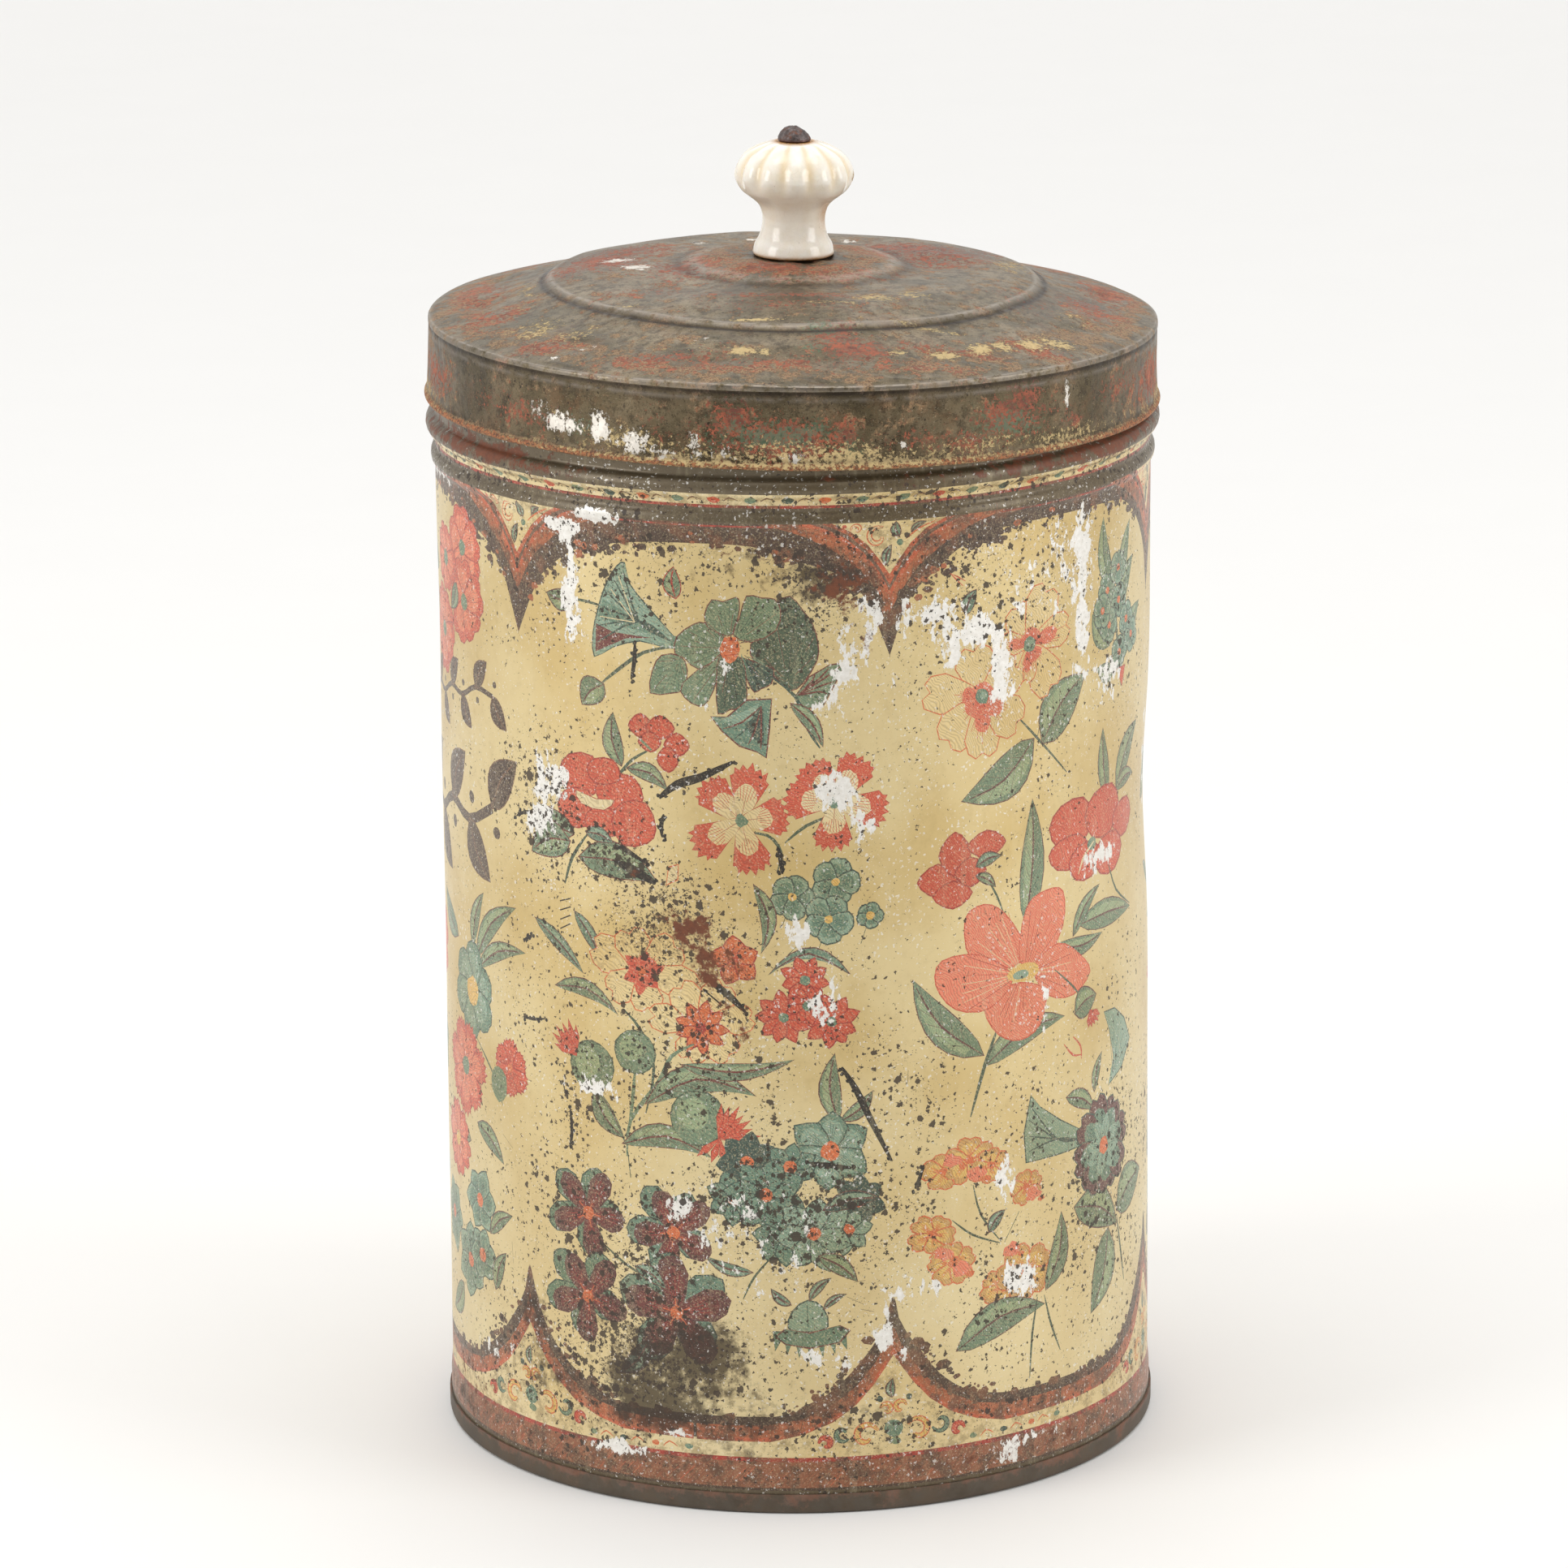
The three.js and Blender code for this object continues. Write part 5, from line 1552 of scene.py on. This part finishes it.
def aged_ink(n, ink, kind, mottle):
    """The inks with their staining, hatching and rubbed spots."""
    broad = n.noise(0.03, 3, 0.5)
    fine = n.noise(2.6, 3, 0.6)
    streak = n.noise(0.5, 4, 0.6, (1, 1, 0.08))
    colour = n.mix(n.step(broad, 0.35, 0.7), ink, n.mix(1.0, ink, (236, 226, 202), "MULTIPLY"))
    colour = n.mix(n.times(n.step(mottle, 0.45, 0.8), 0.16), colour,
        n.mix(1.0, colour, (176, 150, 108), "MULTIPLY"))
    colour = n.mix(n.times(n.step(streak, 0.5, 0.8), 0.2), colour, (216, 202, 164))
    band = n.times(n.step(kind, 0.63, 0.66), n.step(kind, 0.87, 0.84))
    dirt = n.times(band, n.step(n.noise(0.28, 6, 0.72), 0.45, 0.58))
    colour = n.mix(n.times(dirt, 0.76), colour, n.mix(mottle, (40, 32, 26), (104, 78, 56)))
    brown = n.times(band, n.step(n.noise(0.13, 5, 0.7), 0.5, 0.62))
    colour = n.mix(n.times(brown, 0.45), colour, (140, 88, 58))
    cream = n.times(n.step(kind, 0.46, 0.48), n.step(kind, 0.54, 0.52))
    foxed = n.times(cream, n.step(n.noise(0.3, 6, 0.75), 0.47, 0.6))
    colour = n.mix(n.times(foxed, 0.6), colour, n.mix(fine, (92, 74, 50), (176, 150, 98)))
    pale = n.times(n.step(n.height(), 120, 24), n.step(kind, 0.06, 0.02))
    pale = n.times(pale, 0.24)
    colour = n.mix(pale, colour, (236, 226, 190))
    hatch = n.times(n.hatching(0.9), n.step(kind, 0.9, 0.95))
    colour = n.mix(n.times(hatch, 0.34), colour, n.mix(1.0, colour, (150, 128, 120), "MULTIPLY"))
    stipple = n.times(n.step(n.cells(1.7), 0.36, 0.2), n.times(kind, 0.32))
    colour = n.mix(stipple, colour, n.mix(0.5, colour, (236, 214, 164)))
    worn_ink = n.times(n.step(fine, 0.54, 0.66), n.times(kind, 0.4))
    return n.mix(worn_ink, colour, (212, 194, 150))


def wall_specks(n, speck_f):
    """Black specks of three sizes, with soot where they are thickest."""
    spread = n.less(n.noise(0.05, 3, 0.6), 0.22)
    speck_all = n.plus(n.times(speck_f, 0.8), n.times(spread, 1.45), True)
    specks = n.most(n.dots(0.42, speck_all, -0.11, 0.66), n.dots(0.9, speck_all, 0.02, 0.66))
    specks = n.most(specks, n.dots(1.9, speck_all, 0.0, 0.5))
    soot = n.patch(n.noise(0.9, 6, 0.75), speck_f, 0.02, 0.22, 0.74)
    return n.most(specks, soot)


def bare_tin(n, bare_f):
    """Where the print has flaked off, and the dull rim round each place."""
    edge_n = n.noise(0.34, 6, 0.66, (1.5, 1.5, 0.8))
    bare = n.patch(edge_n, bare_f, 0.012, 0.44, 0.76)
    flecks = n.patch(n.noise(1.5, 4, 0.65), n.plus(n.times(bare_f, 0.7), n.noise(0.09, 2)), 0.02, 0.16,
        0.77)
    dust = n.dots(1.25, n.times(n.noise(0.04, 3, 0.6), 1.6), 0.0, 0.46)
    bare = n.most(bare, n.most(flecks, n.times(dust, 0.6)))
    rim = n.less(n.patch(edge_n, bare_f, 0.05, 0.44, 0.73), bare, True)
    return bare, rim


def printed_material():
    """Worn lithograph: gold ground, flat inks, and over them grime, rust, pits and bare tin."""
    n = Nodes("printed_tinplate")
    ink, _, _, _, kind = n.fields("print")
    _, rust_f, speck_f, bare_f, grime_f = n.fields("wear_and_painted_light")
    mottle = n.noise(0.35, 5, 0.65)
    colour = aged_ink(n, ink, kind, mottle)
    specks = wall_specks(n, speck_f)
    bare, rim = bare_tin(n, bare_f)
    grime = n.patch(mottle, grime_f, 0.3, 0.55, 0.72)
    colour = n.mix(n.times(grime, 0.82), colour, (58, 44, 32))
    rust = n.patch(n.noise(0.32, 6, 0.72), rust_f, 0.12, 0.42, 0.76)
    colour = n.mix(n.times(rim, 0.3), colour, (120, 100, 74))
    colour = n.mix(bare, colour, n.mix(n.noise(1.1, 3), (206, 200, 188), (252, 250, 246)))
    colour = n.mix(n.times(specks, 0.93), colour, n.mix(n.noise(0.5, 2), (38, 34, 28), (74, 56, 40)))
    colour = n.mix(rust, colour, rust_colour(n))
    rough = n.plus(0.34, n.times(mottle, 0.16))
    rough = n.plus(rough, n.times(n.most(rust, n.most(specks, grime)), 0.35))
    metal = n.times(n.less(1.0, n.most(kind, n.most(specks, rust))), 0.55, True)
    metal = n.most(metal, n.times(bare, 0.35))
    bump = n.plus(n.times(mottle, 0.25), n.times(rust, 0.8))
    bump = n.plus(bump, n.times(specks, -0.7))
    bump = n.plus(bump, n.times(bare, -0.35))
    n.set(Coat_Weight=0.3, Coat_Roughness=0.28)
    return n.finish(colour, rough, metal, bump, 0.12, 0.6)


def lid_material():
    """Tinplate whose print has nearly gone: olive metal and brown patina with broken remnants of colour, a
    skirt painted darker as shade, and painted shadow and highlight lines at its steps and rim.
    """
    n = Nodes("aged_lid_tinplate")
    _, red_f, cream_f, white_f, green_f = n.fields("remnants")
    _, groove, bright, rust_f, _ = n.fields("wear_and_painted_light")
    cloud = n.noise(0.045, 4, 0.6, None, 1.2)
    mottle = n.noise(0.4, 6, 0.72)
    fine = n.noise(1.9, 5, 0.72)
    patina = n.patch(n.noise(0.22, 7, 0.74), n.plus(cloud, rust_f), 0.10, 0.30, 0.68)
    colour = n.mix(n.step(cloud, 0.36, 0.64), (98, 88, 66), (138, 123, 98))
    # Painted shade: everything below the dome's edge, the upright skirt, is darkened.
    side = n.step(n.height(), 241.2, 240.2)
    colour = n.mix(n.times(side, 0.45), colour, (82, 70, 50))
    colour = n.mix(n.times(n.step(mottle, 0.46, 0.62), 0.7), colour, (66, 57, 44))
    brown = n.patch(n.noise(0.12, 7, 0.76), cloud, 0.16, 0.2, 0.6)
    colour = n.mix(n.times(brown, 0.6), colour, (110, 84, 60))
    colour = n.mix(n.times(patina, 0.85), colour,
        n.mix(n.step(fine, 0.4, 0.6), (92, 64, 40), (180, 146, 104)))
    colour = n.mix(n.times(n.step(fine, 0.55, 0.62), 0.6), colour, (48, 40, 32))
    scuff = n.step(n.noise(2.4, 4, 0.7, (1.0, 1.0, 2.0)), 0.6, 0.68)
    colour = n.mix(n.times(scuff, 0.45), colour, (190, 176, 150))
    broken = n.noise(1.0, 7, 0.8)
    red = n.patch(broken, n.plus(n.times(red_f, 0.9), n.times(patina, 0.3)), 0.025, 0.27, 0.67)
    colour = n.mix(n.times(red, 0.88), colour,
        n.mix(n.step(mottle, 0.35, 0.65), (104, 48, 34), (176, 92, 62)))
    rust = n.patch(n.noise(0.5, 6, 0.75), rust_f, 0.08, 0.40, 0.72)
    colour = n.mix(n.times(rust, 0.85), colour, n.mix(n.step(fine, 0.4, 0.6), (92, 56, 36), (178, 108, 62)))
    green = n.patch(n.noise(1.1, 7, 0.8, (1.1, 0.9, 1.2)),
        n.plus(n.times(green_f, 0.8), n.times(red_f, 0.3)), 0.015, 0.25, 0.69)
    colour = n.mix(n.times(green, 0.85), colour, n.mix(fine, (52, 74, 62), (112, 132, 100)))
    cream = n.patch(n.noise(1.1, 7, 0.78, (0.9, 1.2, 1.0)), n.plus(cream_f, n.times(patina, 0.22)), 0.03,
        0.32, 0.70)
    colour = n.mix(n.times(cream, 0.88), colour, n.mix(fine, (176, 148, 96), (230, 206, 150)))
    white = n.patch(n.noise(0.8, 7, 0.78, (1.0, 1.0, 0.8)), n.plus(white_f, n.times(cream_f, 0.25)),
        0.03, 0.36, 0.74)
    colour = n.mix(white, colour, (226, 219, 208))
    pits = n.dots(0.8, n.times(n.noise(0.07, 3), 1.4), 0.0, 0.34)
    colour = n.mix(n.times(pits, 0.75), colour, (46, 38, 32))
    # Painted shadow along the grooves and steps, and a painted highlight on the crests and rim, broken up by
    # mottle.
    colour = n.mix(n.times(groove, 0.8, True), colour, (46, 38, 32))
    colour = n.mix(n.times(bright, n.step(mottle, 0.36, 0.56), True), colour, (178, 168, 156))
    matt = n.most(n.most(rust, red), n.most(cream, n.times(patina, 0.7)))
    rough = n.plus(n.plus(0.28, n.times(mottle, 0.2)), n.times(matt, 0.3))
    metal = n.times(n.less(1.0, matt), 0.8, True)
    bump = n.plus(n.times(mottle, 0.5), n.times(n.most(cream, white), 0.5))
    bump = n.plus(bump, n.plus(n.times(pits, -0.6), n.times(patina, 0.3)))
    bump = n.plus(bump, n.times(n.noise(0.07, 3, 0.5, None, 0.8), 5.0))
    return n.finish(colour, rough, metal, bump, 0.2, 0.8)


def worn_material():
    """Bare tinplate inside and underneath: dull brown, spangled, with rust, a darker ring and a painted
    highlight on the pan's edge.
    """
    n = Nodes("worn_tinplate")
    _, groove, bright, rust_f, _ = n.fields("wear_and_painted_light")
    mottle = n.noise(0.3, 6, 0.7)
    spangle = n.cells(0.16)
    colour = n.mix(n.step(spangle, 0.2, 0.9), (84, 67, 49), (66, 54, 41))
    colour = n.mix(n.step(mottle, 0.45, 0.7), colour, (66, 56, 44))
    rust = n.patch(n.noise(0.14, 6, 0.75), n.plus(rust_f, 0.42), 0.16, 0.4, 0.74)
    colour = n.mix(rust, colour, rust_colour(n))
    # A darker ring where groove is set, and a painted highlight where bright is set.
    colour = n.mix(n.times(groove, 0.5, True), colour, (70, 58, 44))
    colour = n.mix(n.times(bright, mottle, True), colour, (150, 142, 130))
    rough = n.plus(0.4, n.times(n.most(mottle, rust), 0.35))
    metal = n.times(n.less(1.0, rust), 0.6, True)
    bump = n.plus(n.times(mottle, 0.4), n.times(rust, 0.7))
    return n.finish(colour, rough, metal, bump, 0.1, 0.6)


def china_material():
    """White glaze gone creamy in the grooves, with stains at the screw and foot, and painted shade on the neck.
    """
    n = Nodes("glazed_china")
    _, grooves, stain, chip, neck = n.fields("wear_and_painted_light")
    soft = n.noise(0.22, 3, 0.5)
    colour = n.mix(n.step(soft, 0.35, 0.7), (253, 247, 236), (246, 236, 218))
    # Painted shade on the knob's narrow neck.
    colour = n.mix(n.times(neck, 0.35), colour, (238, 224, 198))
    colour = n.mix(n.times(grooves, 0.75), colour, (236, 212, 168))
    craze = n.step(n.cells(0.9, "DISTANCE_TO_EDGE"), 0.03, 0.0)
    colour = n.mix(n.times(craze, 0.12), colour, (150, 124, 92))
    specks = n.step(n.noise(2.2, 2, 0.5), 0.76, 0.79)
    colour = n.mix(n.times(specks, 0.6), colour, (110, 90, 70))
    ragged = n.times(stain, n.plus(0.45, n.noise(1.4, 4, 0.6)), True)
    colour = n.mix(ragged, colour, (186, 132, 66))
    deep = n.step(n.times(stain, n.noise(1.1, 4, 0.6)), 0.5, 0.72)
    colour = n.mix(deep, colour, (74, 48, 28))
    chipped = n.step(n.times(chip, n.plus(0.5, n.noise(0.9, 4, 0.7))), 0.5, 0.62)
    colour = n.mix(chipped, colour, (176, 150, 108))
    n.set(Coat_Weight=0.35, Coat_Roughness=0.08, Subsurface_Weight=0.12, Subsurface_Scale=1.0)
    n.set(Subsurface_Radius=(0.0012, 0.0009, 0.0006))
    rough = n.plus(0.16, n.times(n.most(chipped, ragged), 0.5))
    bump = n.plus(n.times(n.noise(0.35, 2), 0.5), n.times(chipped, -0.6))
    return n.finish(colour, rough, 0.0, bump, 0.12, 0.35)


def iron_material():
    """Dark screw iron with brown rust in its low places."""
    n = Nodes("rusted_iron")
    mottle = n.noise(0.9, 5, 0.7)
    colour = n.mix(n.step(mottle, 0.4, 0.65), (84, 74, 72), (120, 110, 108))
    rust = n.step(n.noise(0.5, 5, 0.7), 0.5, 0.66)
    colour = n.mix(n.times(rust, 0.7), colour, rust_colour(n))
    low = n.step(n.height(), 279.9, 278.9)
    colour = n.mix(n.times(low, 0.7), colour, (92, 46, 26))
    rough = n.plus(0.42, n.times(rust, 0.35))
    metal = n.times(n.less(1.0, rust), 0.7, True)
    return n.finish(colour, rough, metal, n.plus(mottle, rust), 0.12, 0.8)


def solder_material():
    """Dull grey solder, a little lumpy."""
    n = Nodes("solder")
    mottle = n.noise(0.5, 5, 0.65)
    colour = n.mix(n.step(mottle, 0.35, 0.7), (150, 146, 138), (98, 92, 82))
    rough = n.plus(0.36, n.times(mottle, 0.3))
    return n.finish(colour, rough, 0.8, n.noise(0.25, 4, 0.6), 0.3, 0.8)


def floor_material():
    """Pale matt studio paper with the faintest grain."""
    n = Nodes("studio_paper")
    colour = n.mix(n.noise(0.02, 3, 0.5), (240, 239, 237), (242, 241, 239))
    return n.finish(colour, 0.75, 0.0, n.noise(1.2, 3, 0.5), 0.02, 0.2)


# ---------------------------------------------------------------- studio

def build_floor():
    size, n = 9000.0, 60
    vertices, faces = [], []
    for j in range(n + 1):
        for i in range(n + 1):
            x, y = (i / n - 0.5) * size, (j / n - 0.35) * size
            back = max(0.0, y - 3600) / 2000
            vertices.append((x, y, -0.05 + 900 * back * back))
    for j in range(n):
        for i in range(n):
            a = j * (n + 1) + i
            faces.append((a, a + 1, a + n + 2, a + n + 1))
    obj = new_object("studio_floor", vertices, faces)
    obj.data.materials.append(floor_material())


def add_light(name, place, aim, size, power):
    data = bpy.data.lights.new(name, "AREA")
    data.shape = "RECTANGLE"
    data.size, data.size_y = size
    data.energy = power
    obj = bpy.data.objects.new(name, data)
    obj.location = place
    obj.rotation_euler = (Vector(aim) - Vector(place)).to_track_quat("-Z", "Y").to_euler()
    bpy.context.scene.collection.objects.link(obj)


def build_studio():
    world = bpy.data.worlds.new("studio")
    bpy.context.scene.world = world
    world.use_nodes = True
    tree = world.node_tree
    place = tree.nodes.new("ShaderNodeTexCoord")
    split = tree.nodes.new("ShaderNodeSeparateXYZ")
    fade = tree.nodes.new("ShaderNodeMapRange")
    fade.inputs["From Min"].default_value = -0.95
    fade.inputs["From Max"].default_value = -0.1
    fade.inputs["To Min"].default_value = 0.2
    fade.inputs["To Max"].default_value = 0.82
    tree.links.new(place.outputs["Generated"], split.inputs[0])
    tree.links.new(split.outputs[1], fade.inputs["Value"])
    tree.links.new(fade.outputs[0], tree.nodes["Background"].inputs[1])
    tree.nodes["Background"].inputs[0].default_value = (1.0, 0.995, 0.985, 1)
    add_light("window_left", (-1.7, -0.8, 0.9), (0, 0, 0.14), (0.9, 1.3), 15)
    add_light("window_right", (1.7, -0.7, 0.8), (0, 0, 0.14), (0.9, 1.3), 12.5)
    add_light("overhead", (0.0, -0.1, 2.2), (0, -0.05, 0), (1.7, 1.5), 14)
    add_light("backdrop", (0.0, 3.4, 2.4), (0, 3.4, 0), (3.0, 2.4), 25)


def build_camera():
    data = bpy.data.cameras.new("camera")
    data.lens = LENS
    data.sensor_width = 36
    data.clip_start, data.clip_end = 0.05, 40
    obj = bpy.data.objects.new("camera", data)
    bpy.context.scene.collection.objects.link(obj)
    turn = Matrix.Rotation(math.radians(90 - CAMERA_DIP), 4, "X") @ Matrix.Rotation(CAMERA_ROLL, 4, "Z")
    obj.matrix_world = Matrix.Translation([c * MM for c in CAMERA_PLACE]) @ turn
    bpy.context.scene.camera = obj
    bpy.context.scene.view_settings.view_transform = "Standard"
    bpy.context.scene.view_settings.look = "None"


def build_object():
    printed, lid, worn = printed_material(), lid_material(), worn_material()
    china, iron, solder = china_material(), iron_material(), solder_material()
    finish_piece(build_wall(), "canister", "body_wall", "printed_tinplate", printed, worn)
    finish_piece(build_cap(), "canister", "base_cap", "worn_tinplate", worn)
    finish_piece(build_dome(), "lid", "lid_dome", "aged_lid_tinplate", lid)
    finish_piece(build_skirt(), "lid", "lid_skirt", "aged_lid_tinplate", lid)
    finish_piece(build_knob(), "lid", "knob", "glazed_china", china)
    finish_piece(build_bolt(), "lid", "knob_bolt", "rusted_iron", iron)
    finish_piece(build_copy("knob_washer", "washer_under_knob"), "lid", "knob_washer", "rusted_iron", iron)
    finish_piece(build_copy("knob_nut", "nut_under_knob"), "lid", "knob_nut", "rusted_iron", iron)
    finish_piece(build_copy("lid_solder_ring", "solder_under_lid"), "lid", "lid_solder_ring", "solder",
        solder)
    for name in ("base_solder_ring", "side_seam_solder"):
        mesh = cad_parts[name].data
        mesh.materials.clear()
        mesh.materials.append(solder)


build_camera()
build_object()
build_floor()
build_studio()
